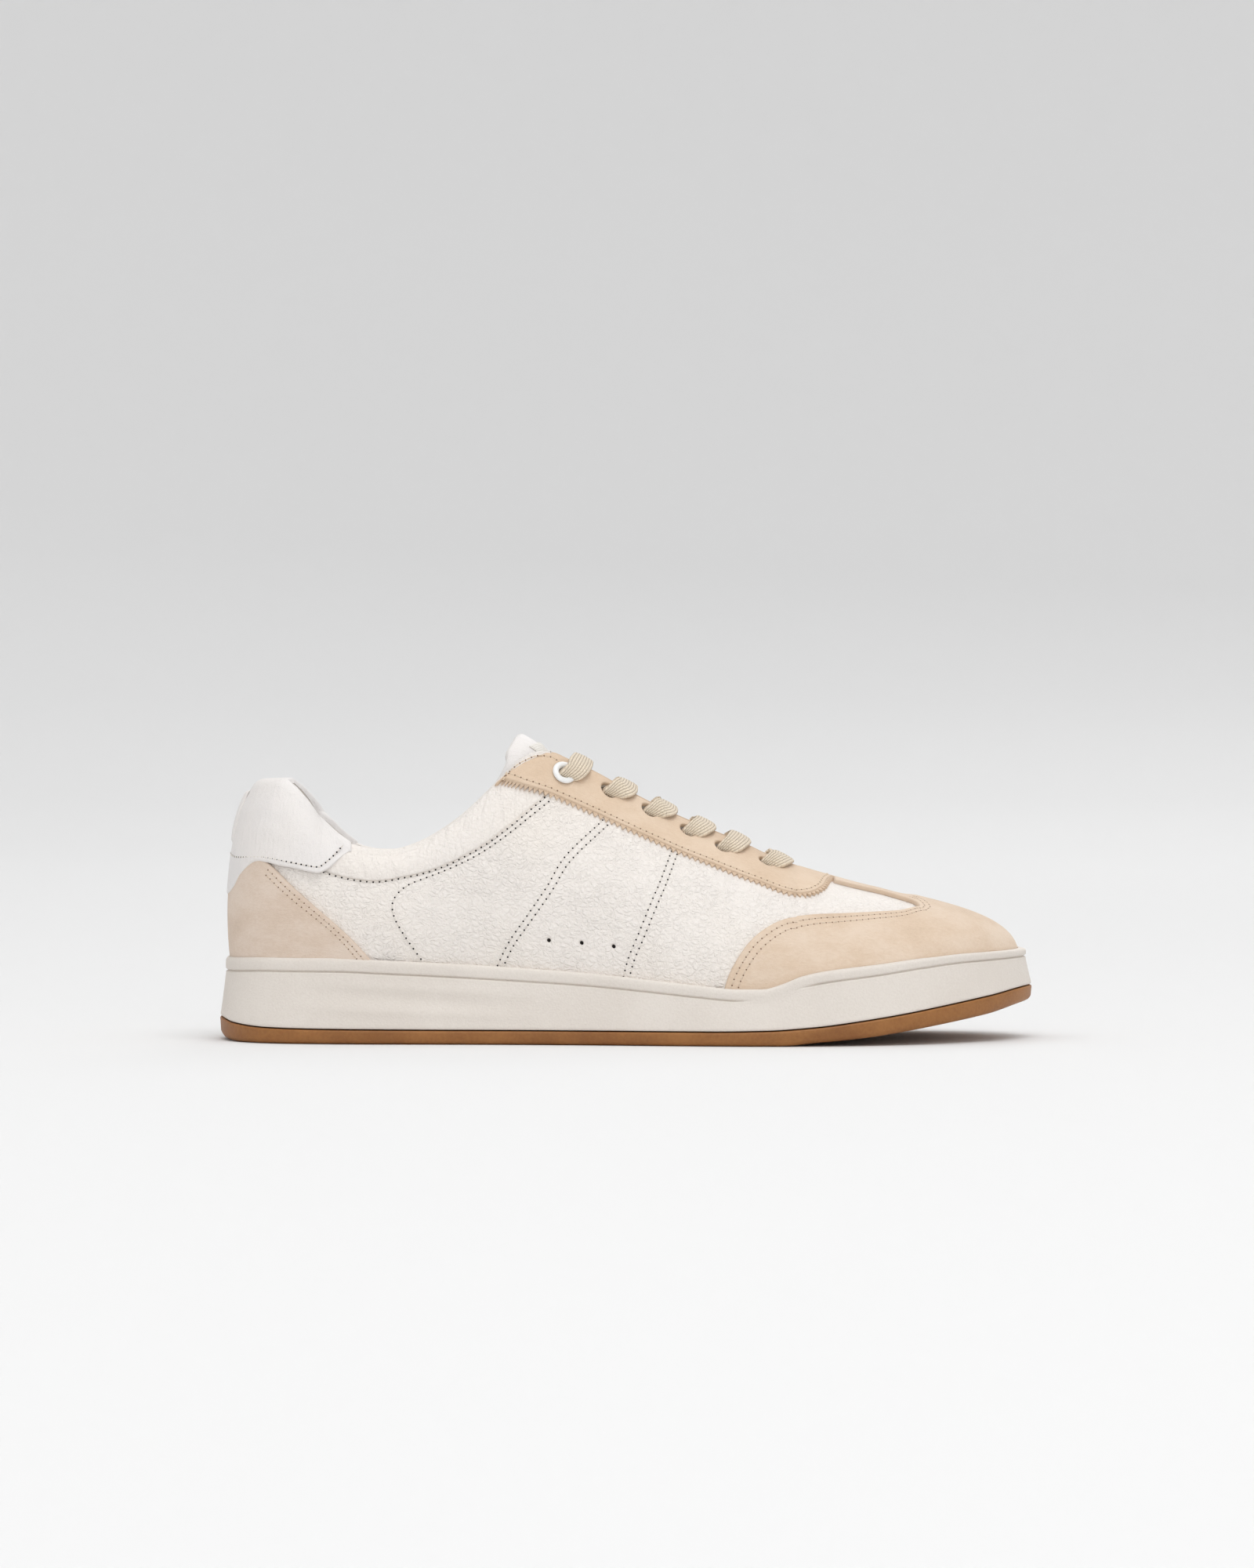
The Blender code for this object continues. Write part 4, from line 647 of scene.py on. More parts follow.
def makeGum(name):
    # translucent-looking crepe brown, darker in slow clouds
    paint, tree, shader = startMaterial(name, (0.27, 0.115, 0.036), 0.5, Specular_IOR_Level=0.45,
                                        Subsurface_Weight=0.08, Subsurface_Scale=0.002)
    where = objectSpace(tree)
    raised(tree, shader, noise(tree, where, 900.0, 3.0), 0.00012, 0.6)
    shade = maths(tree, "ADD", maths(tree, "MULTIPLY", noise(tree, where, 55.0, 3.0), 0.7),
                  maths(tree, "MULTIPLY", noise(tree, where, 900.0), 0.3))
    tree.links.new(mixed(tree, ranged(tree, shade, 0.3, 0.7), (0.26, 0.10, 0.024), (0.37, 0.158, 0.042)),
                   shader.inputs["Base Color"])
    return paint


def makeWoven(name, colour, dark, across, along, relief=0.00025):
    # yarns crossing on the piece's own run map: two sine sets, one shifted by half a yarn row by row; the colour
    # darkens where the yarns dip, as painted shade
    paint, tree, shader = startMaterial(name, colour, 0.88, Specular_IOR_Level=0.2, Sheen_Weight=0.22,
                                        Sheen_Roughness=0.5)
    run = node(tree, "ShaderNodeUVMap", uv_map="run").outputs[0]
    parts = node(tree, "ShaderNodeSeparateXYZ", {0: run}).outputs
    rib = maths(tree, "MULTIPLY", parts[1], across * math.pi)
    ribs = maths(tree, "ABSOLUTE", maths(tree, "SINE", rib))
    row = maths(tree, "FLOOR", maths(tree, "MULTIPLY", parts[1], across))
    half = maths(tree, "MULTIPLY", maths(tree, "PINGPONG", row, 1.0), math.pi / 2)
    slant = maths(tree, "ADD", maths(tree, "MULTIPLY", parts[0], along * math.pi), half)
    stitch = maths(tree, "ABSOLUTE", maths(tree, "SINE", slant))
    weave = maths(tree, "MULTIPLY", maths(tree, "POWER", ribs, 0.6), maths(tree, "ADD", 0.35,
                                                                     maths(tree, "MULTIPLY", stitch, 0.65)))
    fuzz = noise(tree, objectSpace(tree), 3800.0, 3.0, 0.6)
    height = maths(tree, "ADD", weave, maths(tree, "MULTIPLY", fuzz, 0.35))
    raised(tree, shader, height, relief, 1.0)
    # painted shade: the dark colour fills the dips between yarns
    share = maths(tree, "ADD", maths(tree, "MULTIPLY", weave, 0.75), maths(tree, "MULTIPLY", fuzz, 0.35))
    tree.links.new(mixed(tree, ranged(tree, share, 0.12, 0.62), dark, colour), shader.inputs["Base Color"])
    return paint


def makePlain(name, colour, roughness, grain=900.0, relief=0.0001, vary=0.12, **values):
    # one tone with slow clouds and a fine grain
    paint, tree, shader = startMaterial(name, colour, roughness, **values)
    where = objectSpace(tree)
    raised(tree, shader, noise(tree, where, grain, 3.0, 0.6), relief, 0.7)
    dark = tuple(c * (1 - vary) for c in colour)
    share = maths(tree, "ADD", maths(tree, "MULTIPLY", noise(tree, where, 60.0), 0.6),
                  maths(tree, "MULTIPLY", noise(tree, where, grain), 0.4))
    tree.links.new(mixed(tree, ranged(tree, share, 0.35, 0.65), dark, colour), shader.inputs["Base Color"])
    return paint


paints = {
    "white_leather": makePebble("tumbledLeather", pebbleLeather),
    "collar_leather": makePebble("collarLeather", pebbleLeather, cross=(34.0, 8.0, 1.0)),
    "smooth_leather": makeSmoothHide("smoothLeather", smoothHide),
    "suede_toe": makeSuede("toeSuede", suedeNap["toe"]),
    "suede": makeSuede("sandSuede", suedeNap["eyestay"]),
    "suede_pale": makeSuede("paleSuede", suedeNap["heel"]),
    "sole_rubber": makeRubber("cupRubber", rubberCup),
    "gum_rubber": makeGum("gumRubber"),
    "foam": makePlain("openFoam", (0.75, 0.72, 0.62), 0.95, 1400.0, 0.0003),
    "board": makePlain("fibreBoard", (0.62, 0.55, 0.44), 0.9, 700.0, 0.0002),
    "lining_cloth": makeWoven("liningKnit", (0.70, 0.60, 0.49), (0.52, 0.43, 0.34), 55.0, 40.0, 0.0002),
    # the tongue's back lining: brown, made near black as painted shade of the gap at the tongue's top edge
    "brown_lining": makePlain("brownLiningGapShade", (0.065, 0.034, 0.022), 0.75, 1500.0, 0.00015, 0.3),
    "sock_cloth": makeWoven("sockKnit", (0.66, 0.57, 0.46), (0.50, 0.42, 0.33), 70.0, 70.0, 0.00015),
    "stiffener": makePlain("pressedFibre", (0.55, 0.50, 0.42), 0.8, 800.0, 0.0002),
    "ring_white": makePlain("ringEnamel", (0.88, 0.88, 0.87), 0.24, 300.0, 0.00002, 0.03, Coat_Weight=0.5),
    "lace_cotton": makeWoven("laceCotton", (0.90, 0.775, 0.61), (0.56, 0.44, 0.315), 8.0, 80.0, 0.0005),
    "tip_plastic": makePlain("clearTip", (0.78, 0.70, 0.58), 0.2, 500.0, 0.00003, 0.05, Coat_Weight=0.4),
    "label_cloth": makeWoven("labelTape", (0.84, 0.81, 0.76), (0.66, 0.62, 0.56), 150.0, 150.0, 0.0001),
    "thread_white": makePlain("whiteThread", (0.84, 0.79, 0.73), 0.7, 4000.0, 0.00008),
    "thread_sand": makePlain("sandThread", (0.78, 0.63, 0.47), 0.75, 4000.0, 0.00008),
    "thread_grey": makePlain("greyThread", (0.74, 0.60, 0.47), 0.75, 4000.0, 0.00008),
    # painted shade in needle holes: near black on leather, dark sand on suede; the near-black paint also fills the
    # vent holes
    "needle_hole_shade": makePlain("needleHoleShade", (0.018, 0.015, 0.014), 0.9, 2000.0, 0.00003),
    "needle_sand_shade": makePlain("sandNeedleHoleShade", (0.27, 0.175, 0.115), 0.9, 2000.0, 0.00003),
}
print("finishes made")


# ------- sole unit
soleShape = {
    "ground": [(0, 1.6), (3, 0.6), (9, 0), (205, 0), (218, 1.2), (234, 2.6), (250, 4.8), (266, 7.4),
               (282, 10.2), (300, 13.8)],
    "gum": [(0, 8.4), (6, 6.8), (18, 5.6), (41, 5.2), (90, 5.0), (180, 5.0), (201, 5.4), (218, 6.6), (234, 8.6),
            (250, 11.0), (266, 13.8), (282, 16.6), (300, 19.4)],
    "lip": [(0, 30.4), (18, 31.2), (41, 31.2), (65, 30.3), (88, 29.2), (111, 27.8), (134, 26.2), (158, 23.8),
            (177, 21.7), (190, 20.6), (199, 20.6), (206, 22.4), (212, 24.8), (220, 26.6), (242, 29.2),
            (258, 31.2), (275, 32.6), (300, 33.0)],
    "grooveOn": [(0, 1), (170, 1), (188, 1), (196, 0), (211, 0), (219, 1), (300, 1)],
    "grooveDeep": 0.95,
    "grooveDown": [(0, 4.9), (70, 4.9), (170, 4.3), (225, 3.9), (270, 3.2), (300, 2.8)],   # below the lip
    "wave": 0.45,                # height of the slow moulded ripples on the heel's side
}
groundZ, gumZ, lipZ, grooveOn, grooveDown = (
    smoothLine(soleShape[k]) for k in ("ground", "gum", "lip", "grooveOn", "grooveDown"))
halfRing = np.concatenate([np.linspace(0, heelGirth, 50)[:-1], np.linspace(heelGirth, toeGirth, 130)[:-1],
                           np.linspace(toeGirth, fullGirth, 50)])
# point k of a ring faces point -1-k, so both ends of the ring are doubled a hair apart
ringU = np.concatenate([halfRing, halfRing[::-1]])
ringU[[0, -1]] = 0.02
ringU[[len(halfRing) - 1, len(halfRing)]] = fullGirth - 0.02
ringSide = np.concatenate([np.full(len(halfRing), outer), np.full(len(halfRing), inner)])


def ringAt(inset, height):
    # the sole line moved in by inset, its height a function of X
    r = np.where(ringSide < 0, reach(ringU, outer, inset), reach(ringU, inner, inset))
    flat = station(ringU, ringSide, r, 0.0)
    flat[:, 2] = height(flat[:, 0]) if callable(height) else height
    return flat


def soleRelief(flat, z):
    # slow ripples low on the heel's side: one long sine along X, faded at its ends and by height
    x, side = flat[:, 0], np.sign(flat[:, 1] - centreY(flat[:, 0]))
    level = (z - gumZ(x)) / np.maximum(lipZ(x) - gumZ(x), 1)
    along = smoothStep((x - 20) / 40) * smoothStep((128 - x) / 45)
    return (soleShape["wave"] * along * np.sin((level - 0.12 + 0.0016 * (x - 60)) * 13.5)
            * smoothStep((level - 0.12) / 0.2) * smoothStep((0.72 - level) / 0.2) * (side < 0.5))


def makeCup():
    # rings from the gum line up the side, over the groove and lip, and down the inner face
    levels = [(1.0, 0.45), (0.5, 0.5), (0.28, 0.75), (0.22, 1.2)]
    rings = [ringAt(inset, lambda x, up=up: gumZ(x) + up) for inset, up in levels]
    for share in np.linspace(0.06, 1.0, 26):
        inset = 0.22 + 1.98 * share ** 0.9
        flat = ringAt(float(round(inset, 3)),
                      lambda x: gumZ(x) + 1.2 + share * (lipZ(x) - grooveDown(x) - gumZ(x) - 2.3))
        moved = ringAt(float(round(inset, 3)) - 1.0, 0.0)
        out = moved[:, :2] - flat[:, :2]
        flat[:, :2] += out * soleRelief(flat, flat[:, 2])[:, None]
        rings.append(flat)
    deep = soleShape["grooveDeep"]
    for up in np.linspace(-0.75, 0.75, 9):
        flat = ringAt(2.2, lambda x, up=up: lipZ(x) - grooveDown(x) + up)
        back = ringAt(2.2 + deep, 0.0)
        dip = grooveOn(flat[:, 0]) * np.exp(-(up / 0.34) ** 2)
        flat[:, :2] += (back[:, :2] - flat[:, :2]) * dip[:, None]
        rings.append(flat)
    for part, inset in ((0.89, 2.16), (0.72, 2.13), (0.55, 2.13), (0.41, 2.17), (0.28, 2.26), (0.17, 2.42),
                        (0.09, 2.66), (0.03, 3.0), (0.0, 3.45)):
        rings.append(ringAt(inset, lambda x, part=part: lipZ(x) - part * (grooveDown(x) - 0.75)))
    lip = lipZ(station(ringU, ringSide, 30.0, 0.0)[:, 0])
    over = smoothStep((88 - ringU) / 5) + smoothStep((ringU - 196) / 5)
    clear = -0.35 - 1.5 * over
    rise = riseAt(ringU, lip - 0.3)
    top = skin(ringU, rise, ringSide, clear)
    crown = (rings[-1] + top) / 2
    crown[:, 2] = np.maximum(rings[-1][:, 2], top[:, 2]) + 0.02
    rings += [crown, top]
    rings += [skin(ringU, rise * s, ringSide, clear) for s in (0.75, 0.5, 0.25, 0.04)]
    floor = rings[-1].copy()
    floor[:, 2] = gumZ(floor[:, 0]) + 3.45
    rings.append(floor)
    made = addSwept("cup_wall", rings, paints["sole_rubber"], smooth=48)
    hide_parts("cupsole")


def makeGumSole():
    # a rounded slab: rings from its flat underside round the edge up to the gum line
    rings = [ringAt(inset, lambda x, up=up: groundZ(x) + up) for inset, up in
             ((6.0, 0.0), (3.2, 0.0), (2.2, 0.12), (1.3, 0.5), (0.7, 1.1), (0.35, 1.8))]
    rings += [ringAt(inset, lambda x, down=down: gumZ(x) - down) for inset, down in
              ((0.12, 1.3), (0.05, 0.8), (0.1, 0.4), (0.3, 0.12), (0.7, 0.0), (2.5, 0.0))]
    made = addSwept("gum_sole", rings, paints["gum_rubber"], smooth=50)
    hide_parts("outsole")


def makeSock():
    # the sock's top is dished across: it rises towards its edges with the square of the way out
    low, high = (lambda x: footbedZ(x) + 0.25), (lambda x: footbedZ(x) + 4.2)
    rings = [ringAt(11.6, low), ringAt(11.6, lambda x: high(x) + 0.2), ringAt(11.8, lambda x: high(x) + 0.75),
             ringAt(12.4, lambda x: high(x) + 0.95)]
    half = len(ringU) // 2
    edge = rings[-1]
    for share in (0.85, 0.65, 0.42, 0.2, 0.05):
        middle = (edge + edge[::-1]) / 2
        ring = middle + (edge - middle) * share
        ring[:, 2] = high(ring[:, 0]) - 0.05 + share ** 2 * 1.0
        rings.append(ring)
    sections = np.array(rings)
    uv = (sections[..., :2] / 100).reshape(-1, 2)
    made = addSwept("sock", sections, paints["sock_cloth"], uv=uv)
    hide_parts("sockliner")


makeCup()
makeGumSole()
makeSock()
print("sole made")


# ------- outlines of the upper, as (girth, height) seen from the side
outlines = {
    "seam": [(0, 68.5), (20, 68.2), (40, 67), (52, 64.6), (62, 61.4), (70, 59.6), (78, 59), (87, 60.4),
             (95, 62.2),
             (103, 65), (111, 69), (118, 73.2), (126, 79.2), (133, 85), (140, 91)],
    "tab": [(0, 53), (9.4, 54.1), (15.7, 56.7), (20.3, 60.9), (28.3, 65.5), (34.4, 65.6), (40.4, 64.5),
            (47, 63.5),
            (53, 62.2), (56.6, 61.8), (59.5, 62.9), (62, 64.8), (65.6, 68.0), (68.2, 69.9)],
    "heelFront": [(35.5, 65.2), (38.3, 63.4), (47.1, 56.3), (58, 47.6), (67.9, 38.9), (75.4, 31), (80, 26)],
    "eyestayLow": [(121, 95), (127.7, 93.4), (134.4, 91.6), (139.6, 90), (153.5, 84), (163.3, 79.6),
                   (174.6, 74.4),
                   (188.7, 68.2), (199, 64.2), (209.6, 60), (216.8, 57.4), (223.7, 54.7), (229.2, 53.2),
                   (233.5, 53), (237.8, 54), (241, 55.8)],
    "toeBack": [(203.8, 20.5), (205.6, 25.8), (208.7, 31.4), (212.8, 37), (217.5, 41), (223, 44), (228.5, 45.4),
                (236.5, 46.2), (248, 46.4), (264, 46.8), (270.5, 47.2), (273.5, 47.9)],
    "toeStrip": [(257, 22), (255.2, 15), (251.5, 10.6), (246, 8.4), (236, 8.2), (226, 8.8)],   # (X, way down)
    "quarterFront": [(250, 0.4), (255, 5), (259.5, 11), (262, 18), (262.3, 25), (259, 32)],    # (X, way down)
    "middlePanel": [(140, 88.2), (133, 82.6), (126, 77), (118, 71.2), (111, 67.1), (103, 63.4), (95.5, 60.5),
                    (90.5, 58.6), (87.2, 56.6), (84.4, 53.6), (83.4, 50.4), (84.3, 46), (87.3, 40.6),
                    (91, 35.2), (95.3, 29.2), (97.5, 25.5)],
    "stripes": [[(160.6, 80), (147.2, 67.2), (140.3, 56.1), (132.6, 45.0), (126.6, 36.4), (121.6, 26)],
                [(185.8, 69), (181.6, 58.1), (178.4, 50.8), (173.4, 38.6), (170.2, 31), (167.8, 22)]],
    "vents": [(140.3, 37.8), (152.2, 36.9), (163.8, 35.7)],
    "eyelets": [(145, 97.2), (161.5, 91.0), (176.3, 83.6), (190.5, 76.2), (203.3, 70.2), (219.2, 64.6)],
}
stitchSize = {"pitch": 2.3, "rowGap": 2.1, "thread": 0.21, "hole": 0.34}
eyeletU, eyeletZ = np.array(outlines["eyelets"], float).T
eyeletRise = riseAt(eyeletU, eyeletZ)
holeRadius = 3.1
sewn, pricked = {}, {}


def roundHole(u, w, side, radius, corners=22):
    # a circle on the skin as a loop in the flat pattern, scaled by the surface's own stretch
    here, ahead, up = (rawUpper(np.array([a]), np.array([b]), np.array([side]))
                       for a, b in ((u, w), (u + 1, w), (u, w + 0.01)))
    turn = np.arange(corners) / corners * 2 * math.pi
    down = (1 - w - radius / (np.linalg.norm(up - here) * 100) * np.sin(turn)) * unroll
    return np.stack([u + radius / np.linalg.norm(ahead - here) * np.cos(turn) - girthShift, side * down], 1)


def eyeletHoles(side):
    return [roundHole(u, t, side, holeRadius) for u, t in zip(eyeletU, eyeletRise)]


def stitchRow(group, place, normal, holes=None, pitch=None, share=0.68, phase=0.0):
    # threads along a line: each is a closed tube whose height follows one minus the square of the way along it
    run = np.concatenate([[0], np.cumsum(np.linalg.norm(np.diff(place, axis=0), axis=1))])
    pitch = pitch or stitchSize["pitch"]
    count = max(1, int(run[-1] / pitch - phase))
    at = (np.arange(count) + 0.5 + phase) * run[-1] / (count + phase)
    at = at[at < run[-1]]
    here = np.stack([np.interp(at, run, c) for c in place.T], 1)
    ahead = np.stack([np.interp(at + 0.2, run, c) for c in place.T], 1)
    before = np.stack([np.interp(at - 0.2, run, c) for c in place.T], 1)
    along = ahead - before
    along /= np.maximum(np.linalg.norm(along, axis=1, keepdims=True), 1e-9)
    face = np.stack([np.interp(at, run, c) for c in normal.T], 1)
    face -= (face * along).sum(1, keepdims=True) * along
    face /= np.maximum(np.linalg.norm(face, axis=1, keepdims=True), 1e-9)
    across = np.cross(face, along)
    if group:
        s = np.linspace(-1, 1, 6)[:, None]
        turn = np.arange(6) / 6 * 2 * math.pi
        thick = stitchSize["thread"] * (0.35 + 0.65 * np.sqrt(1 - 0.96 * s * s))
        rise = 0.16 * (1 - s * s) - 0.10
        tube = (here[:, None, None] + along[:, None, None] * (s * pitch * share / 2)[None, :, :, None]
                + face[:, None, None] * (rise + thick * np.sin(turn))[None, :, :, None]
                + across[:, None, None] * (thick * np.cos(turn) * 1.15)[None, :, :, None])
        sewn.setdefault(group, []).append(tube)
    # dark discs between the stitches: painted shade in the needle holes
    if holes:
        gap = run[-1] / (count + phase) / 2
        dots = np.stack([np.interp(at - gap, run, c) for c in place.T], 1)
        turn = np.arange(8) / 8 * 2 * math.pi
        radius = np.array([0.85, 1.0, 0.5])[:, None] * stitchSize["hole"]
        high = np.array([-0.2, 0.0, 0.06])[:, None]
        dot = (dots[:, None, None] + face[:, None, None] * (high + 0 * turn)[None, :, :, None]
               + across[:, None, None] * (radius * np.cos(turn))[None, :, :, None]
               + along[:, None, None] * (radius * np.sin(turn))[None, :, :, None])
        pricked.setdefault(holes, []).append(dot)


def rowOnFlat(group, flat, depth, holes=None, strip=False, **more):
    # a stitch row along a line of the flat pattern
    flat = even(flat, 0.6)
    if strip:
        u, w = np.abs(flat[:, 0]), 1 - flat[:, 1] / unroll
        side = np.where(flat[:, 0] < 0, outer, inner)
    else:
        u, w, side = flatToSkin(flat)
    if callable(depth):
        depth = depth(flat, u, w, side)
    place, (_, normal, _) = skin(u, w, side, depth), upperFrame(u, np.clip(w, 0, 0.98), side)
    stitchRow(group, place, normal, holes, **more)


def makeRows(pieces, name, paint):
    # many small closed tubes as one mesh
    joined = np.concatenate(pieces)
    count, rows, cols = joined.shape[:3]
    tube = gridFaces(rows, cols, False, True)[:, ::-1]
    faces = (tube[None] + (np.arange(count) * rows * cols)[:, None, None]).reshape(-1, 4)
    first = (np.arange(count) * rows * cols)[:, None] + np.arange(cols)[None, :]
    last = first[:, ::-1] + (rows - 1) * cols
    points = joined.reshape(-1, 3)
    f = faces[:rows * cols - cols]
    centre = joined[0].reshape(-1, 3).mean(0)
    volume = sum(np.einsum("ij,ij->i", points[f[:, i]] - centre, np.cross(points[f[:, j]] - centre,
                 points[f[:, k]] - centre)).sum() for i, j, k in ((0, 1, 2), (0, 2, 3)))
    groups = [faces, first, last]
    if volume < 0:
        groups = [g[:, ::-1] for g in groups]
    return addMesh(name, points, groups, paint, smooth=60)


def seamValley(flat, line, deep, wide):
    return -deep * np.exp(-(distanceTo(flat, line, False) / wide) ** 2)


def sideLine(points, step=1.2):
    # a smooth (girth, height) line as a flat pattern on the inner side
    return sideToFlat(flowing(points, step))


def frontEdge(extra):
    # where the quarter stops under the toe overlay, from the crest down to the feather edge
    low = shifted(sideToFlat(outlines["toeBack"][:-2])[::-1], -5.0)
    line = np.vstack([outlines["quarterFront"], low, [(low[-1, 0] + 2, unroll - 0.4)]])
    return shifted(line, -extra)


def makeQuarters():
    # the side below the collar seam: its middle panel overlaps the rear one, two sewn bands cross it
    seamLine = sideLine(outlines["seam"])
    middle = sideLine(outlines["middlePanel"])
    stripes = [sideLine(line) for line in outlines["stripes"]]
    for side, word in ((outer, "lateral"), (inner, "medial")):
        start = 0.05 - girthShift
        foot = [(start, unroll - 0.4), (start, seamLine[0, 1])]
        ahead = [(seamLine[-1, 0] + 0.4, 0.2), (211, 0.2), (212.5, 0.4), (235, 0.4)]
        loop = even(np.vstack([foot, seamLine, ahead, frontEdge(0), [foot[0]]]), 1.5)[:-1]
        loops = [loop] + eyeletHoles(inner)
        if side < 0:
            loops += [roundHole(u, riseAt(u, z), inner, 0.72, 14) for u, z in np.array(outlines["vents"])]
        loops = [l * (1, side) for l in loops]
        curve = np.vstack([middle, [(middle[-1, 0] + 4, unroll)], [(215, unroll)], [(215, 0)],
                           [(middle[0, 0], 0)]]) * (1, side)

        def relief(flat, u, w, side, edge):
            near = distanceTo(flat, middle * (1, side[0]), False)
            signed = np.where(isInside(flat, curve), near, -near)
            lift = 0.42 * smoothStep((signed + 1.15) / 0.5)
            lift = lift + seamValley(flat, middle * (1, side[0]), 0.22, 0.8)
            for stripe in stripes:
                for gap in (-0.5, 0.5):
                    row = shifted(stripe, gap * stitchSize["rowGap"]) * (1, side[0])
                    lift = lift + seamValley(flat, row, 0.24, 0.75)
            top = distanceTo(flat, seamLine * (1, side[0]), False)
            lift = lift + 0.25 * np.exp(-(top / 2.2) ** 2)
            swell = np.sin(np.clip((u - 128) / 34, 0, 1) * math.pi) * np.sin(np.clip(w * 1.3, 0, 1) * math.pi)
            return lift + 0.5 * swell

        made = cutPanel("quarter_" + word + "_hide", loops, 0.0, 1.2, paints["white_leather"], 1.05, 0.6, relief)
        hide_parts("quarter_" + word)

        def onPanel(flat, u, w, side):
            return -0.1 - relief(flat, u, w, side, None)

        for line, away in ((middle, 0.5), (seamLine, 0.55)):
            low = line + (0, away)      # a little further down the side than its line
            rowOnFlat("thread_white", low * (1, side), onPanel, "needle_hole_shade")
        for stripe in stripes:
            for gap in (-0.5, 0.5):
                row = shifted(stripe, gap * stitchSize["rowGap"]) * (1, side)
                rowOnFlat("thread_white", row, onPanel, "needle_hole_shade")
    # near-black discs behind the vent holes: painted shade inside the holes
    discs = []
    for u, z in outlines["vents"]:
        w = float(riseAt(u, z))
        point, normal, up = (a[0] for a in upperFrame(np.array([u]), np.array([w]), np.array([outer])))
        turn = np.arange(14) / 14 * 2 * math.pi
        ring = np.cross(normal, up) * np.cos(turn)[:, None] + up * np.sin(turn)[:, None]
        discs.append([point - normal * 1.1 + ring * 1.1, point - normal * 0.75 + ring * 1.1,
                      point - normal * 0.7 + ring * 0.3])
    made = makeRows([np.array(discs)], "vent_hole_shade", paints["needle_hole_shade"])


collarShape = {"low": 2.2, "puff": 1.1, "tuck": 0.55}
collarLeft, collarRight = 0.1, 140.6


def makeCollars():
    # the padded panel swells between seam and top: a lift that follows a power of a half sine up the panel
    seamLine = flowing(outlines["seam"], 1.2)
    u = np.linspace(collarLeft, collarRight, 190)
    low = riseAt(u, np.interp(u, seamLine[:, 0], seamLine[:, 1]))
    for side, word in ((outer, "lateral"), (inner, "medial")):
        up = np.concatenate([[-0.055, -0.03, 0.0, 0.02, 0.045, 0.08], np.linspace(0.12, 1, 26)])
        rows = np.concatenate([up, 1 + np.linspace(0, 0.58, 15)[1:]])
        w = np.where(rows[None] <= 1, low[:, None] + (1 - low[:, None]) * rows[None], rows[None])
        share = np.clip(rows, 0, 1)[None]
        fade = smoothStep((134 - u) / 26)[:, None]
        lift = collarShape["puff"] * np.sin(np.pi * np.clip(share * 0.94, 0, 1)) ** 0.75 * fade
        cross = np.sin(u[:, None] * 0.72 + 1.6 * np.sin(u[:, None] * 0.171) + 2.0 * share) * np.sin(
            u[:, None] * 0.233 + 1.1)
        lift = lift + 0.16 * cross * np.sin(np.pi * share) * fade
        tuck = collarShape["tuck"] * smoothStep((0.055 - rows[None]) / 0.075)
        edge = np.where(rows[None] > 1.5, (rows[None] - 1.5) * 5, 0.0)
        top = skin(u[:, None], w, side, tuck - lift + edge)
        under = skin(u[:, None], w, side, np.maximum(1.2, tuck + 0.5) + 0 * lift)
        sections = np.concatenate([top, under[:, ::-1]], 1)
        uv = np.stack(np.broadcast_arrays(u[:, None] / 100, np.concatenate([w, w[:, ::-1]], 1) * 0.75), -1)
        made = addSwept("collar_" + word + "_hide", sections, paints["collar_leather"], uv=uv.reshape(-1, 2))
        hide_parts("collar_panel_" + word)


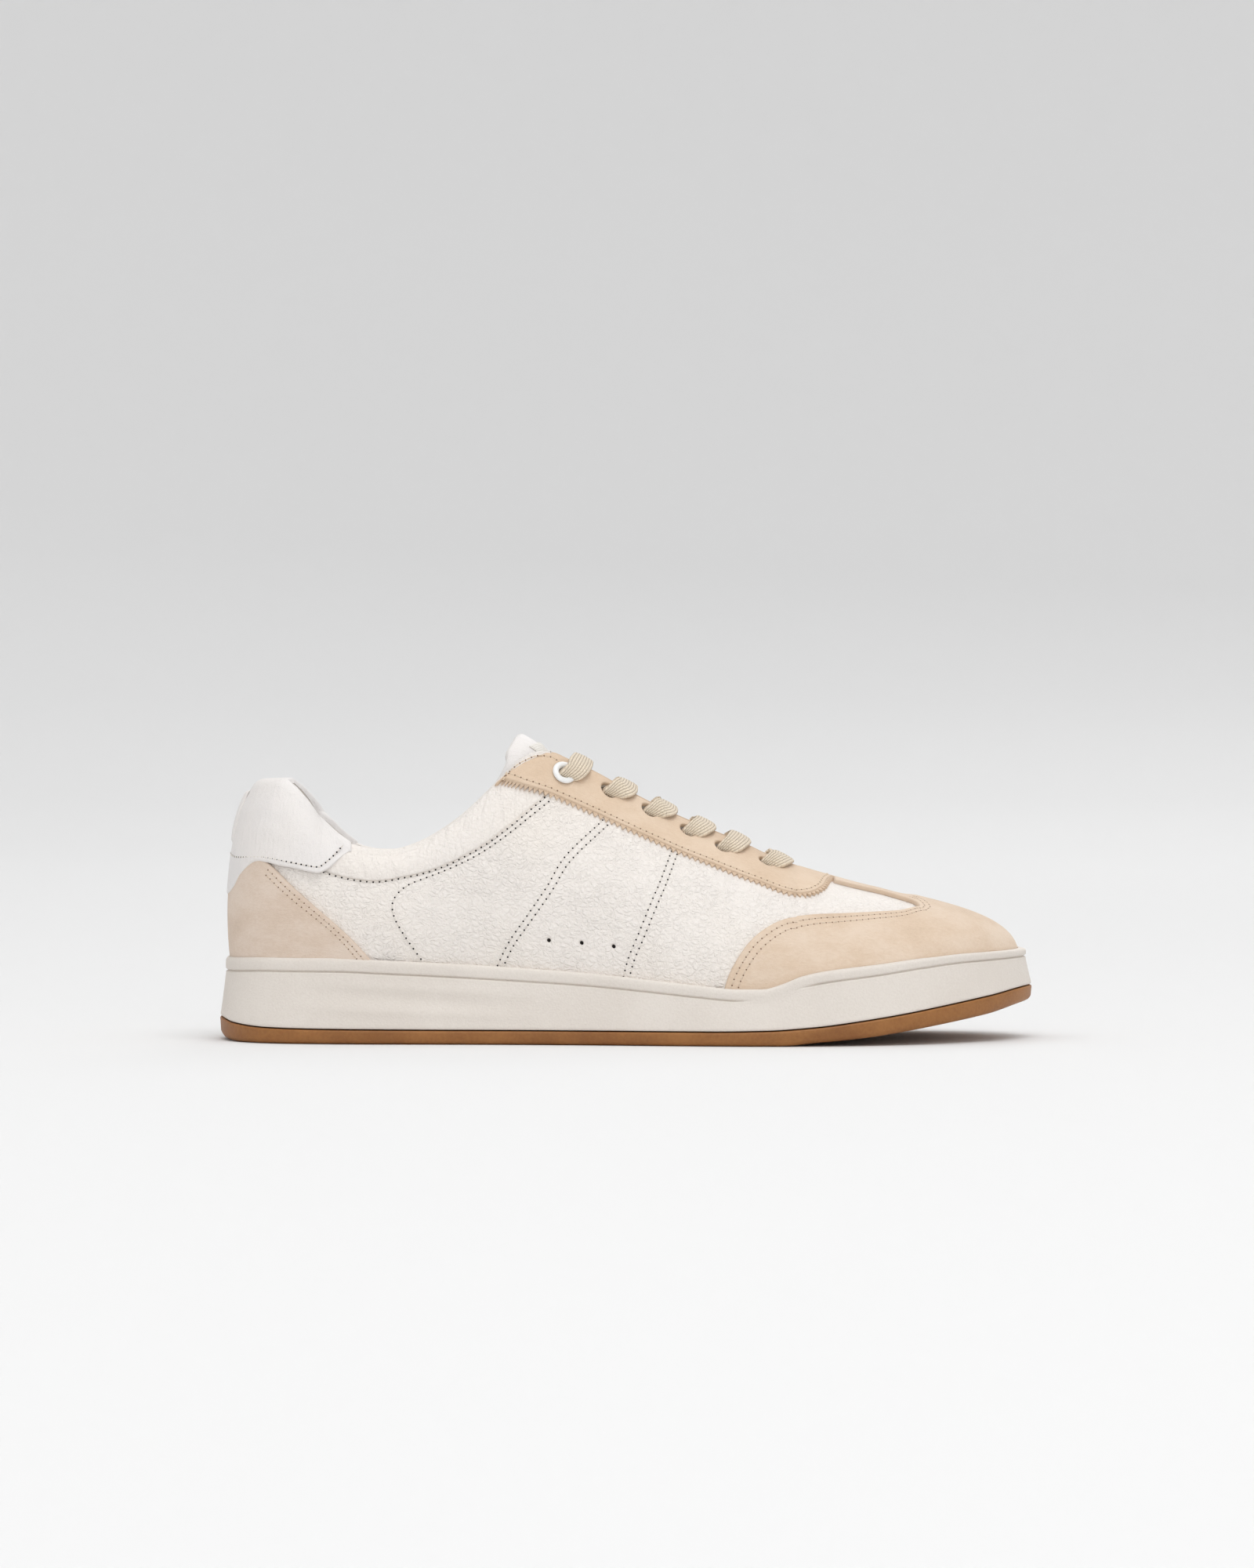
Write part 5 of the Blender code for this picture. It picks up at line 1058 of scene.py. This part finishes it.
def makeTab():
    # the tab over the padded heel: rows from its lower edge up and over the top
    tab = flowing(outlines["tab"], 0.5)
    half = np.concatenate([np.linspace(0, 56, 60)[:-1], np.linspace(56, 68.4, 42)])
    u = np.concatenate([-half[:0:-1], half])
    order = np.argsort(tab[:, 0])
    low = np.minimum(riseAt(half, np.interp(half, tab[order, 0], tab[order, 1])), 0.99)
    low = np.concatenate([low[:0:-1], low])
    side = np.where(u < 0, outer, inner)[:, None]
    far = np.array([0, 0.02, 0.12, 0.3, 0.6, 1.0, 1.6, 2.4])
    edge = 0.75
    first = far / 75.0
    body = np.linspace(0.05, 1, 24)
    w = np.concatenate([low[:, None] + np.minimum(first[None], (1 - low[:, None]) * 0.1 * np.arange(8) / 8),
                        low[:, None] + (1 - low[:, None]) * (0.1 + 0.9 * (body - 0.05) / 0.95)[None]], 1)
    away = (w - low[:, None]) * 75.0
    ends = (68.4 - np.abs(u))[:, None]
    near = np.minimum(away, ends * 1.0)
    drop = edge - np.sqrt(np.maximum(edge ** 2 - np.maximum(edge - near, 0) ** 2, 0))
    over = np.broadcast_to(1 + np.linspace(0, 0.56, 15)[1:], (len(u), 14))
    w = np.concatenate([w, over], 1)
    fall = np.minimum(ends, edge)
    fall = edge - np.sqrt(np.maximum(edge ** 2 - (edge - fall) ** 2, 0))
    drop = np.concatenate([drop, np.broadcast_to(fall, (len(u), 14))], 1)
    crease = 0.10 * np.sin(w * 46 + 1.3 * np.sin(np.abs(u)[:, None] * 0.13)) * np.sin(
        np.clip(np.abs(u)[:, None] / 52, 0, 1) * np.pi) * smoothStep((0.9 - w) / 0.2)
    # thinner over the top and towards its ends, and let into the collar at its inner end
    girth = np.abs(u)[:, None]
    face = (-2.0 + 0.6 * smoothStep((w - 0.8) / 0.2)
            + 0.35 * smoothStep((w - 0.8) / 0.2) * smoothStep((girth - 48) / 16))
    face = face + 1.0 * smoothStep((w - 1.42) / 0.14)
    top = skin(girth, w, side, face + drop - crease)
    under = skin(girth, w, side, np.maximum(-0.75, face + drop + 0.5))
    sections = np.concatenate([top, under[:, ::-1]], 1)
    uv = np.stack(np.broadcast_arrays(u[:, None] / 100, np.concatenate([w, w[:, ::-1]], 1) * 0.75), -1)
    made = addSwept("heel_tab_hide", sections, paints["smooth_leather"], uv=uv.reshape(-1, 2))
    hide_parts("heel_tab")
    # one row along the lower edge, then up inside the front edge
    for hand in (outer, inner):
        line = flowing([(2, 68.2), (16, 67.0), (28.3, 67.4), (34.4, 67.3), (47, 65.3), (55.6, 63.8), (58.3, 64.8),
                        (60.6, 66.5), (63.5, 69.3), (65.5, 71.4)], 0.8)
        flat = np.stack([line[:, 0] * hand, (1 - riseAt(line[:, 0], line[:, 1])) * unroll], 1)
        rowOnFlat("thread_white", flat, -2.02, "needle_hole_shade", strip=True, pitch=1.9)


def makeHeelOverlay():
    # suede counter cover, unrolled about the heel's back
    tab = sideToFlat(flowing(outlines["tab"][:5], 1.2)) + (0, -2.0)
    front = sideToFlat(flowing(outlines["heelFront"], 1.2))
    half = np.vstack([tab[tab[:, 0] + girthShift < 34], front, [(64, unroll - 0.4)]])
    half[:, 0] += girthShift
    half[0, 0] = 0.0
    loop = np.vstack([half, np.stack([-half[::-1, 0], half[::-1, 1]], 1)[:-1]])
    loop = even(np.vstack([loop, loop[:1]]), 1.3)[:-1]
    made = cutPanel("heel_suede", [loop], -1.6, -0.1, paints["suede_pale"], 1.7, 0.6, strip=True)
    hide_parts("heel_overlay")
    for hand in (outer, inner):
        for far in (2.0, 4.1):
            row = shifted(front, far)
            flat = np.stack([(row[:, 0] + girthShift) * hand, row[:, 1]], 1)
            rowOnFlat("thread_grey", flat[1:], -1.58, "needle_sand_shade", strip=True)


def makeEyestay():
    # one suede piece round the throat; its lower edge is pinked: every other point moves out
    low = sideToFlat(flowing(outlines["eyestayLow"], 0.9))
    tip = flowing([low[-3], low[-1], (224.3, 9), (225.6, 4.5), (226, 0)], 0.9)[2:]
    path = even(np.vstack([low[:-2], tip]), 1.02)
    path[:, 1] = np.maximum(path[:, 1], 0)
    teeth = shifted(path, 0.78 * np.where(np.arange(len(path)) % 2 == 0, 1, -1)[:, None])
    teeth = teeth[teeth[:, 1] > 0.3]
    rear = even([(102.6, 0.25), teeth[0]], 1.0)[:-1]
    half = np.vstack([rear, teeth])
    throat = np.vstack([even([(120, -0.25), (211, -0.25)], 1.5), [(212.5, 0)],
                        even([(211, 0.25), (120, 0.25)], 1.5)])
    loop = np.vstack([half, flipped(half)[::-1], throat])
    made = cutPanel("eyestay_suede", [loop] + eyeletHoles(inner) + eyeletHoles(outer), -1.6, -0.1,
                    paints["suede"],
                    1.6, 0.5)
    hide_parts("eyestay")
    row = shifted(path, -2.3 if path[5, 1] > path[0, 1] else 2.3)
    inside = isInside(row, loop)
    row = row[inside & (row[:, 0] < 224)]
    back = even([(106.2, 1.9), (104.9, 3.0), row[1]], 0.8)
    for side in (outer, inner):
        rowOnFlat("thread_sand", np.vstack([back, row[2:]]) * (1, side), -1.62, "needle_sand_shade", pitch=2.35)
        top = even([(107.5, 1.7), (118.5, 1.7), (122.5, 2.3), (125.5, 3.8)], 0.8)
        rowOnFlat("thread_sand", top * (1, side), -1.62, "needle_sand_shade", pitch=2.35)


def makeVamp():
    # the base under the eyestay's front and the suede toe with its narrow strip to the throat
    edge = frontEdge(0.2)
    edge[0] = (251.0, 0.0)
    edge[-1, 1] = unroll - 0.4
    turn = np.radians(np.linspace(-88, 88, 60))
    arc = np.stack([lastShape["toeX"] + (unroll - 0.4) * np.cos(turn), (unroll - 0.4) * np.sin(turn)], 1)
    loop = even(np.vstack([edge[::-1], flipped(edge[1:]), arc, [edge[-1]]]), 2.0)[:-1]
    made = cutPanel("vamp_hide", [loop], 0.25, 1.2, paints["white_leather"], 2.4, 0.4)
    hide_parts("vamp")
    back = sideToFlat(flowing(outlines["toeBack"], 1.2))
    corner = flowing([back[-4], back[-1]] + outlines["toeStrip"], 1.2)
    corner = corner[np.linalg.norm(corner - back[-4], axis=1) > 3.0]
    keep = back[:-4]
    line = even(np.vstack([keep, corner]), 1.2)
    half = np.vstack([[(line[0, 0] - 1.2, unroll - 0.4)], line])
    loop = even(np.vstack([half, flipped(half)[::-1], arc, [half[0]]]), 1.3)[:-1]
    made = cutPanel("toe_suede", [loop], -1.65, -0.1, paints["suede_toe"], 1.7, 0.6)
    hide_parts("toe_overlay")
    for side in (outer, inner):
        for far in (2.3, 4.7):
            row = shifted(line, -far)
            trial = isInside(row[3:4], loop)
            if not trial[0]:
                row = shifted(line, far)
            stop = int(len(row) * 0.80)
            rowOnFlat("thread_grey", row[:stop] * (1, side), -1.64, "needle_sand_shade")


def makeRoundBack():
    # a narrow folded strip on the heel's back: a half ellipse carried up the centre line
    rise = np.linspace(*riseAt(np.zeros(2), np.array([72.0, 90.5])), 26)
    share = np.linspace(-1, 1, 13)
    u = np.abs(share) * 6.0
    side = np.where(share < 0, outer, inner)
    fade = np.sin(np.linspace(0, 1, 26) * np.pi) ** 0.25
    lift = 1.15 * np.sqrt(1 - 0.96 * share[None] ** 2) * fade[:, None]
    top = skin(u[None], rise[:, None], side[None], -2.0 - lift)
    under = skin(u[None], rise[:, None], side[None], -1.7 + 0 * lift)
    sections = np.concatenate([top, under[:, ::-1]], 1)
    uv = np.zeros((sections.shape[0] * sections.shape[1], 2))
    made = addSwept("back_fold", sections, paints["smooth_leather"], uv=uv)
    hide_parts("back_strip")


makeQuarters()
makeCollars()
makeTab()
makeHeelOverlay()
makeEyestay()
makeVamp()
makeRoundBack()
print("upper made")


# ------- padding and linings

def makePadding():
    # foam under the collar: one closed section from outside low, over the top, to inside low
    u = np.concatenate([np.linspace(-117, -0.3, 70), np.linspace(0.3, 117, 70)])
    side = np.where(u < 0, outer, inner)[:, None]
    rows = np.concatenate([np.linspace(0.53, 1, 12)[:-1], np.linspace(1, 2, 14), np.linspace(2, 2.47, 12)[1:]])
    made = addSwept("collar_pad", skin(np.abs(u)[:, None], rows[None], side, 2.1), paints["foam"])
    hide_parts("collar_foam")

    # the lining swells gently inwards below the rolled top
    u = np.concatenate([np.linspace(-140, -0.05, 150), np.linspace(0.05, 140, 150)])
    side = np.where(u < 0, outer, inner)[:, None]
    rows = np.concatenate([np.linspace(1.54, 2, 14)[:-1], np.linspace(2, 2.5, 18)[:-1],
                           np.linspace(2.5, 2.985, 12)])
    tuck = 0.7 * smoothStep((1.66 - rows) / 0.1)
    swell = (0.9 * np.sin(np.pi * np.clip((rows - 1.75) / 0.75, 0, 1))
             * smoothStep((125 - np.abs(u)) / 30)[:, None])
    top = skin(np.abs(u)[:, None], rows[None], side, tuck[None] - swell)
    under = skin(np.abs(u)[:, None], rows[None], side, 0.9 + 0 * swell)
    sections = np.concatenate([top, under[:, ::-1]], 1)
    uv = np.stack(np.broadcast_arrays(u[:, None] / 100, np.concatenate([rows, rows[::-1]])[None] * 0.75), -1)
    made = addSwept("collar_knit", sections, paints["lining_cloth"], uv=uv.reshape(-1, 2))
    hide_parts("collar_lining")


# ------- tongue
tongueShape = {
    "depth": [(112, 11.8), (120, 11.2), (130, 8.8), (139, 7.2), (220, 7.2), (232, 5.6), (244, 5.4)],
    "low": [(112, 0.87), (125, 0.85), (150, 0.76), (185, 0.66), (244, 0.72)],
    "base": 240.0, "leather": 1.1, "lining": 0.9, "roll": 0.55,
}
tongueDepth, tongueLow = smoothLine(tongueShape["depth"]), smoothLine(tongueShape["low"])


def tongueAt(s, v):
    # s 0 at the base to 1 at the top, v across: flanks follow the upper, a Bezier bridges them
    across = np.abs(v)
    cut = 3.0 * np.clip((across - 0.75) / 0.25, 0, 1) ** 2
    u = tongueShape["base"] + s * (135 - 17 * across ** 1.4 + cut - tongueShape["base"])
    side = np.where(v < 0, outer, inner)
    split, high = 0.4, 0.93
    share = np.clip((across - split) / (1 - split), 0, 1)
    top = np.minimum(high + 0.06 * smoothStep((150 - u) / 25), 0.985)
    t = top - share * (top - tongueLow(u))
    depth = tongueDepth(u)[..., None]
    ends, ups = [], []
    for hand in (outer, inner):
        point, normal, up = upperFrame(u, top, np.full_like(u, hand))
        ends.append(point - normal * depth)
        ups.append(up)
    point, normal, up = upperFrame(u, t, side)
    flank = point - normal * depth
    c = np.clip((v / split + 1) / 2, 0, 1)[..., None]
    handle = np.linalg.norm(ends[1] - ends[0], axis=-1, keepdims=True) * 0.42
    bridge = ((1 - c) ** 3 * ends[0] + 3 * c * (1 - c) ** 2 * (ends[0] + ups[0] * handle)
              + 3 * c * c * (1 - c) * (ends[1] + ups[1] * handle) + c ** 3 * ends[1])
    made = np.where((across >= split)[..., None], flank, bridge)
    return made + 9.5 * smoothStep((148 - u) / 20)[..., None] * np.array([-0.45, 0, 0.89])


def tongueFrame(s, v):
    point, d = tongueAt(s, v), 0.006
    along = tongueAt(s + d, v) - tongueAt(s - d, v)
    across = tongueAt(s, np.clip(v + d * 2, -1, 1)) - tongueAt(s, np.clip(v - d * 2, -1, 1))
    normal = np.cross(across, along)
    along /= np.linalg.norm(along, axis=-1, keepdims=True)
    return point, normal / np.linalg.norm(normal, axis=-1, keepdims=True), along


def plump(s, v):
    # foam thickness: full in the middle and upper part
    return (0.5 + 3.0 * smoothStep((1 - np.abs(v)) / 0.4) * smoothStep((s - 0.05) / 0.3)
            * smoothStep((1.04 - s) / 0.15))


def tongueSheet(name, s, v, face, back, paint, uvScale=1.0, body="tongue", roll=None):
    # a sheet between two depths below the tongue's front; roll carries its top edge over in a half circle
    point, normal, along = tongueFrame(s, v)
    face, back = (np.broadcast_to(d, s.shape)[..., None] for d in (face, back))
    top, under = point - normal * face, point - normal * back
    if roll is not None:
        radius, stop = roll
        r = radius(v[-1])[:, None]
        turn = np.linspace(0, stop, 13)[1:, None, None]
        middle = point[-1] - normal[-1] * r
        top = np.concatenate([top, middle + normal[-1] * r * np.cos(turn) + along[-1] * r * np.sin(turn)])
        thin = np.maximum(r - 1.0, 0.4)
        under = np.concatenate([under,
                                middle + normal[-1] * thin * np.cos(turn) + along[-1] * thin * np.sin(turn)])
        more = s[-1] + 0.02 * np.arange(1, 13)[:, None]
        s, v = np.vstack([s, np.broadcast_to(more, (12, s.shape[1]))]), np.vstack([v, np.tile(v[-1], (12, 1))])
    sections = np.concatenate([top, under[:, ::-1]], 1)
    uv = np.stack([np.concatenate([v, v[:, ::-1]], 1) * 0.3, np.concatenate([s, s[:, ::-1]], 1) * 1.2], -1)
    return addSwept(name, sections, paint, body, uv=uv.reshape(-1, 2) * uvScale)


def makeTongue():
    s, v = np.meshgrid(np.linspace(0, 1, 90), np.linspace(-1, 1, 71), indexing="ij")
    edge = 0.55 - np.sqrt(np.maximum(0.55 ** 2 - np.maximum(0.55 - (1 - np.abs(v)) * 24, 0) ** 2, 0))
    puff = 0.5 * smoothStep((s - 0.80) / 0.05) * smoothStep((1.0 - s) / 0.05) * smoothStep((1 - np.abs(v)) / 0.3)
    crease = -0.35 * np.exp(-((s - 0.845) / 0.006) ** 2)
    under = 1.1 + 0.72

    def radius(v):
        return 0.5 * (under + plump(np.ones_like(v), v) + 0.95 + 0.35)

    face = tongueSheet("tongue_hide", s, v, edge - puff - crease, 1.1, paints["smooth_leather"],
                       roll=(radius, math.radians(150)))
    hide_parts("tongue_face")
    fill = plump(s, v)
    part = (slice(8, -4), slice(4, -4))
    pad = tongueSheet("tongue_pad", s[part], v[part], under, (under + fill)[part], paints["foam"])
    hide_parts("tongue_foam")
    # near-black brown back: a brown lining darkened as painted shade of the gap behind the rolled top edge
    back = under + fill + 0.95
    lining = tongueSheet("tongue_back", s, v, back, back + 0.9, paints["brown_lining"])
    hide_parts("tongue_lining")
    ls, lv = np.meshgrid(np.linspace(0.872, 0.955, 24), np.linspace(-0.28, 0.28, 40), indexing="ij")
    rim = np.minimum(np.minimum(ls - 0.872, 0.955 - ls) * 130, (0.28 - np.abs(lv)) * 24)
    label = tongueSheet("tongue_tape", ls, lv, -1.15 + 0.3 * (1 - smoothStep(rim / 0.5)), -0.55,
                        paints["label_cloth"], 1.0)
    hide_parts("tongue_label")
    for v0 in (-1, 1):
        line = np.linspace(0.55, 0.835, 90)
        place, normal, _ = tongueFrame(line, np.full_like(line, v0 * 0.86))
        stitchRow("thread_tongue", place + normal * 0.02, normal, "needle_shade_tongue")
    line = np.linspace(-0.84, 0.84, 120)
    place, normal, _ = tongueFrame(np.full_like(line, 0.836), line)
    stitchRow("thread_tongue", place + normal * 0.02, normal, "needle_shade_tongue")


# ------- eyelet rings
ringShape = {"profile": [(2.1, -4.3), (2.45, -4.3), (2.45, 0.2), (2.75, 0.38), (3.6, 0.42), (4.2, 0.42),
                         (4.5, 0.62),
                         (4.52, 0.95), (4.2, 1.3), (3.6, 1.52), (3.0, 1.55), (2.5, 1.35), (2.2, 0.95), (2.1, 0.3)]}


def makeRings():
    # a rolled flange and barrel turned round the hole's own axis
    for side, word in ((outer, "lateral"), (inner, "medial")):
        u, t = eyeletU[0], eyeletRise[0]
        centre = skin(u, t, side, -1.55)
        _, normal, up = (a[0] for a in upperFrame(np.array([u]), np.array([t]), np.array([side])))
        turn = (np.arange(44) / 44 * 2 * math.pi)[:, None]
        out = np.cross(normal, up) * np.cos(turn) + up * np.sin(turn)
        r, h = np.array(ringShape["profile"]).T
        sections = centre + out[:, None] * r[None, :, None] + normal * h[None, :, None]
        made = addSwept("ring_" + word, sections, paints["ring_white"], closedRun=True, smooth=50)
        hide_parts("eyelet_ring_" + word)


# ------- lace
laceShape = {
    "halfWide": 4.0, "halfThick": 0.85, "runDepth": 5.25, "barLift": 2.9,
    "barRise": [2.0, 1.5, 1.2, 1.0, 0.8, 0.6],
    "tipLength": 22.0, "tipRadius": 1.7,
}
lacePoints = []      # place, face normal, half width, half thickness


def laceHole(i, side, rising):
    # through eyelet i: bunched in the hole, then swelling as it turns over towards the throat
    u, t = eyeletU[i], eyeletRise[i]
    _, normal, up = (a[0] for a in upperFrame(np.array([u]), np.array([t]), np.array([side])))
    flange = 0.5 if i == 0 else 0.0
    run = laceShape["runDepth"]
    steps = [(run - 0.4, 0.0, 0.0, normal - up * 0.4, 1.9, 1.0), (run - 2.6, 0.05, 0.0, -up, 1.9, 1.5),
             (0.2, 0.0, 0.1, -up, 2.3, 1.9 - flange * 0.6),
             (-1.9 - flange, -0.1, 1.4, normal * 0.6 - up, 3.1, 1.75),
             (-3.3 - flange, 1.5, 3.6, normal - up * 0.3, 4.1, 1.4)]
    for depth, inward, ahead, face, wide, thick in steps if rising else steps[::-1]:
        lacePoints.append((skin(u + ahead, t, side, depth) + up * inward, face, wide, thick))


def laceBar(i, start):
    # over the throat from eyelet i on one side to eyelet i on the other
    laceHole(i, start, True)
    ends = []
    for side in (start, -start):
        point, normal, _ = (a[0] for a in upperFrame(np.array([eyeletU[i] + 5.6]), np.array([0.99]),
                                                     np.array([side])))
        ends.append((point + normal * laceShape["barLift"], normal))
    fall = np.array([0.45, 0, 0.89])
    middle = (ends[0][0] + ends[1][0]) / 2 + fall * laceShape["barRise"][i]
    wide, thick = laceShape["halfWide"], laceShape["halfThick"]
    lacePoints.append((ends[0][0], ends[0][1], 4.5, 0.95))
    lacePoints.append((middle, fall, wide, thick))
    lacePoints.append((ends[1][0], ends[1][1], 4.5, 0.95))
    laceHole(i, -start, False)


def laceRun(i, j, side, lane):
    # behind the eyelets from hole i to hole j, lane mm towards the edge
    for share in ((0.3, 0.7) if abs(i - j) == 1 else (0.16, 0.38, 0.62, 0.84)):
        u = eyeletU[i] + (eyeletU[j] - eyeletU[i]) * share
        t = np.interp(u, eyeletU, eyeletRise)
        point, normal, up = (a[0] for a in upperFrame(np.array([u]), np.array([t]), np.array([side])))
        lacePoints.append((point - normal * laceShape["runDepth"] + up * lane, normal, 2.0, 0.75))


def laceTail(i, side, level, outward):
    # a spare end tucked down beside the tongue along a quarter sine
    places = []
    for share in (0.12, 0.34, 0.56, 0.78, 1.0):
        u = eyeletU[i] + 34 * share ** 1.5
        t = eyeletRise[i] + (level - eyeletRise[i]) * math.sin(share * math.pi / 2)
        point, normal, _ = (a[0] for a in upperFrame(np.array([u]), np.array([t]), np.array([side])))
        places.append((point - normal * (laceShape["runDepth"] + 0.3 + 1.6 * share), normal, 2.2, 0.75))
    lacePoints.extend(places if outward else places[::-1])


def makeLace():
    laceTail(0, inner, 0.42, False)
    laceBar(0, inner)
    laceRun(0, 2, outer, -4.8)
    laceBar(2, outer)
    laceRun(2, 4, inner, -4.8)
    laceBar(4, inner)
    laceRun(4, 5, outer, 0)
    laceBar(5, outer)
    laceRun(5, 3, inner, 4.8)
    laceBar(3, inner)
    laceRun(3, 1, outer, 4.8)
    laceBar(1, outer)
    laceTail(1, inner, 0.56, True)
    packed = np.array([np.concatenate([p, np.asarray(f) / np.linalg.norm(f), [w, t]])
                       for p, f, w, t in lacePoints])
    v = np.vstack([2 * packed[0] - packed[1], packed, 2 * packed[-1] - packed[-2]])
    s = (np.arange(9) / 9)[None, :, None]
    a, b, c, d = (v[i:len(v) - 3 + i, None] for i in range(4))
    line = 0.5 * (2 * b + (c - a) * s + (2 * a - 5 * b + 4 * c - d) * s ** 2
                  + (3 * b - a - 3 * c + d) * s ** 3)
    line = np.vstack([line.reshape(-1, 8), packed[-1]])
    place, face, size = line[:, :3], line[:, 3:6], line[:, 6:]
    along = np.gradient(place, axis=0)
    along /= np.linalg.norm(along, axis=1)[:, None]
    face = face - (face * along).sum(1)[:, None] * along
    face /= np.linalg.norm(face, axis=1)[:, None]
    across = np.cross(along, face)
    # section: a flattened superellipse, its long faces ribbed by a cosine
    turn = (np.arange(40) + 0.5) / 40 * 2 * math.pi
    x = np.sign(np.cos(turn)) * np.abs(np.cos(turn)) ** 0.85
    y = np.sign(np.sin(turn)) * np.abs(np.sin(turn)) ** 0.75
    rib = 0.13 * np.abs(np.sin(x * math.pi * 3.0)) - 0.07
    thick = size[:, 1:] * y[None] + np.sign(y)[None] * rib[None]
    sections = (place[:, None] + across[:, None] * (size[:, :1] * x[None])[..., None]
                + face[:, None] * thick[..., None])
    length = np.concatenate([[0], np.cumsum(np.linalg.norm(np.diff(place, axis=0), axis=1))])
    uv = np.stack(np.broadcast_arrays(length[:, None] / 100, (x[None] + 1) / 2), -1).reshape(-1, 2)
    made = addSwept("lace_braid", sections, paints["lace_cotton"], uv=uv, smooth=80)
    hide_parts("lace")
    print("lace", round(float(length[-1]), 1), "mm")
    for name, end, way in (("lace_tip_a", 0, -1), ("lace_tip_b", -1, 1)):
        start = place[end] - along[end] * way * 0.4
        turn = (np.arange(24) / 24 * 2 * math.pi)[:, None]
        out = across[end] * np.cos(turn) + face[end] * np.sin(turn)
        run = np.array([0, 0.3, 0.8, 6, 14, laceShape["tipLength"] - 0.8, laceShape["tipLength"]])
        slim = np.array([0.8, 0.95, 1.0, 1.0, 1.0, 1.0, 0.7]) * laceShape["tipRadius"]
        tube = start + along[end] * way * run[:, None, None] + out[None] * slim[:, None, None]
        tip = addSwept(name + "_sleeve", tube, paints["tip_plastic"])
        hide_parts(name)


makePadding()
makeTongue()
makeRings()
makeLace()
for group, pieces in list(sewn.items()) + list(pricked.items()):
    tongue = group.endswith("tongue")
    paint = {"thread_tongue": "thread_white", "needle_shade_tongue": "needle_sand_shade"}.get(group, group)
    made = makeRows(pieces, group, paints[paint])
    if tongue:
        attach(made, "tongue")
for name, paint in (("midsole", "foam"), ("strobel_board", "board"), ("heel_counter", "stiffener"),
                    ("toe_puff", "stiffener"), ("eyelet_backing_lateral", "stiffener"),
                    ("eyelet_backing_medial", "stiffener"), ("vamp_lining", "board")):
    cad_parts[name].data.materials.clear()
    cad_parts[name].data.materials.append(paints[paint])
print("lacing, tongue and rows made")


# ------- floor, light and camera
studio = {
    "floor": (0.83, 0.83, 0.83), "bowl": 2.4, "bend": 4.0, "wallTop": 6.5,
    "world": 0.94, "key": 22.0, "front": 11.0, "rear": 10.0,
    "distance": 2.2, "lens": 137.0, "elevation": 1.0, "aim": (0.0003, 0.0, 0.0938),
}


def makeStage():
    # a bowl: flat floor, a quarter round bend, then an upright wall, turned about Z
    bend = np.linspace(0, math.pi / 2, 14)
    r = np.concatenate([[0.001, 0.5, 1.5], studio["bowl"] + studio["bend"] * np.sin(bend),
                        [studio["bowl"] + studio["bend"]] * 2])
    z = np.concatenate([[0, 0, 0], studio["bend"] * (1 - np.cos(bend)), [3.0, studio["wallTop"]]])
    turn = np.arange(96) / 96 * 2 * math.pi
    points = np.stack([r[:, None] * np.cos(turn), r[:, None] * np.sin(turn), z[:, None] + 0 * turn], -1)
    mesh = bpy.data.meshes.new("studioBowl")
    faces = gridFaces(len(r), 96, False, True)[:, ::-1]
    mesh.from_pydata(points.reshape(-1, 3).tolist(), [], faces.tolist())
    mesh.polygons.foreach_set("use_smooth", [True] * len(faces))
    paint, tree, shader = startMaterial("studioPaper", studio["floor"], 0.9, Specular_IOR_Level=0.1)
    mesh.materials.append(paint)
    floor = bpy.data.objects.new("studioBowl", mesh)
    bpy.context.scene.collection.objects.link(floor)


def addLight(name, place, aim, size, power, colour=(1, 1, 1)):
    light = bpy.data.lights.new(name, "AREA")
    light.shape, light.size, light.energy, light.color = "DISK", size, power, colour
    made = bpy.data.objects.new(name, light)
    made.location = place
    made.rotation_euler = (Vector(aim) - Vector(place)).to_track_quat("-Z", "Y").to_euler()
    bpy.context.scene.collection.objects.link(made)


makeStage()
addLight("keyLight", (0.35, -0.9, 2.6), (0, 0, 0), 1.9, studio["key"])
addLight("frontLight", (0.5, -3.0, 1.1), (0, 0, 0.05), 1.6, studio["front"])
addLight("rearLight", (0.6, 2.6, 1.8), (0, 0, 0.05), 1.6, studio["rear"])
world = bpy.data.worlds.new("studioWorld")
world.use_nodes = True
world.node_tree.nodes["Background"].inputs[0].default_value = (1, 1, 1, 1)
world.node_tree.nodes["Background"].inputs[1].default_value = studio["world"]
bpy.context.scene.world = world
bpy.context.scene.view_settings.view_transform = "Standard"
lens = bpy.data.cameras.new("studioCamera")
lens.lens, lens.sensor_fit, lens.sensor_height, lens.sensor_width = studio["lens"], "VERTICAL", 36.0, 36.0
lens.clip_start, lens.clip_end = 0.05, 50.0
camera = bpy.data.objects.new("studioCamera", lens)
bpy.context.scene.collection.objects.link(camera)
rise = math.radians(studio["elevation"])
target = Vector(studio["aim"])
camera.location = target + Vector((0, -math.cos(rise), math.sin(rise))) * studio["distance"]
camera.rotation_euler = (target - camera.location).to_track_quat("-Z", "Y").to_euler()
bpy.context.scene.camera = camera
print("stage made")
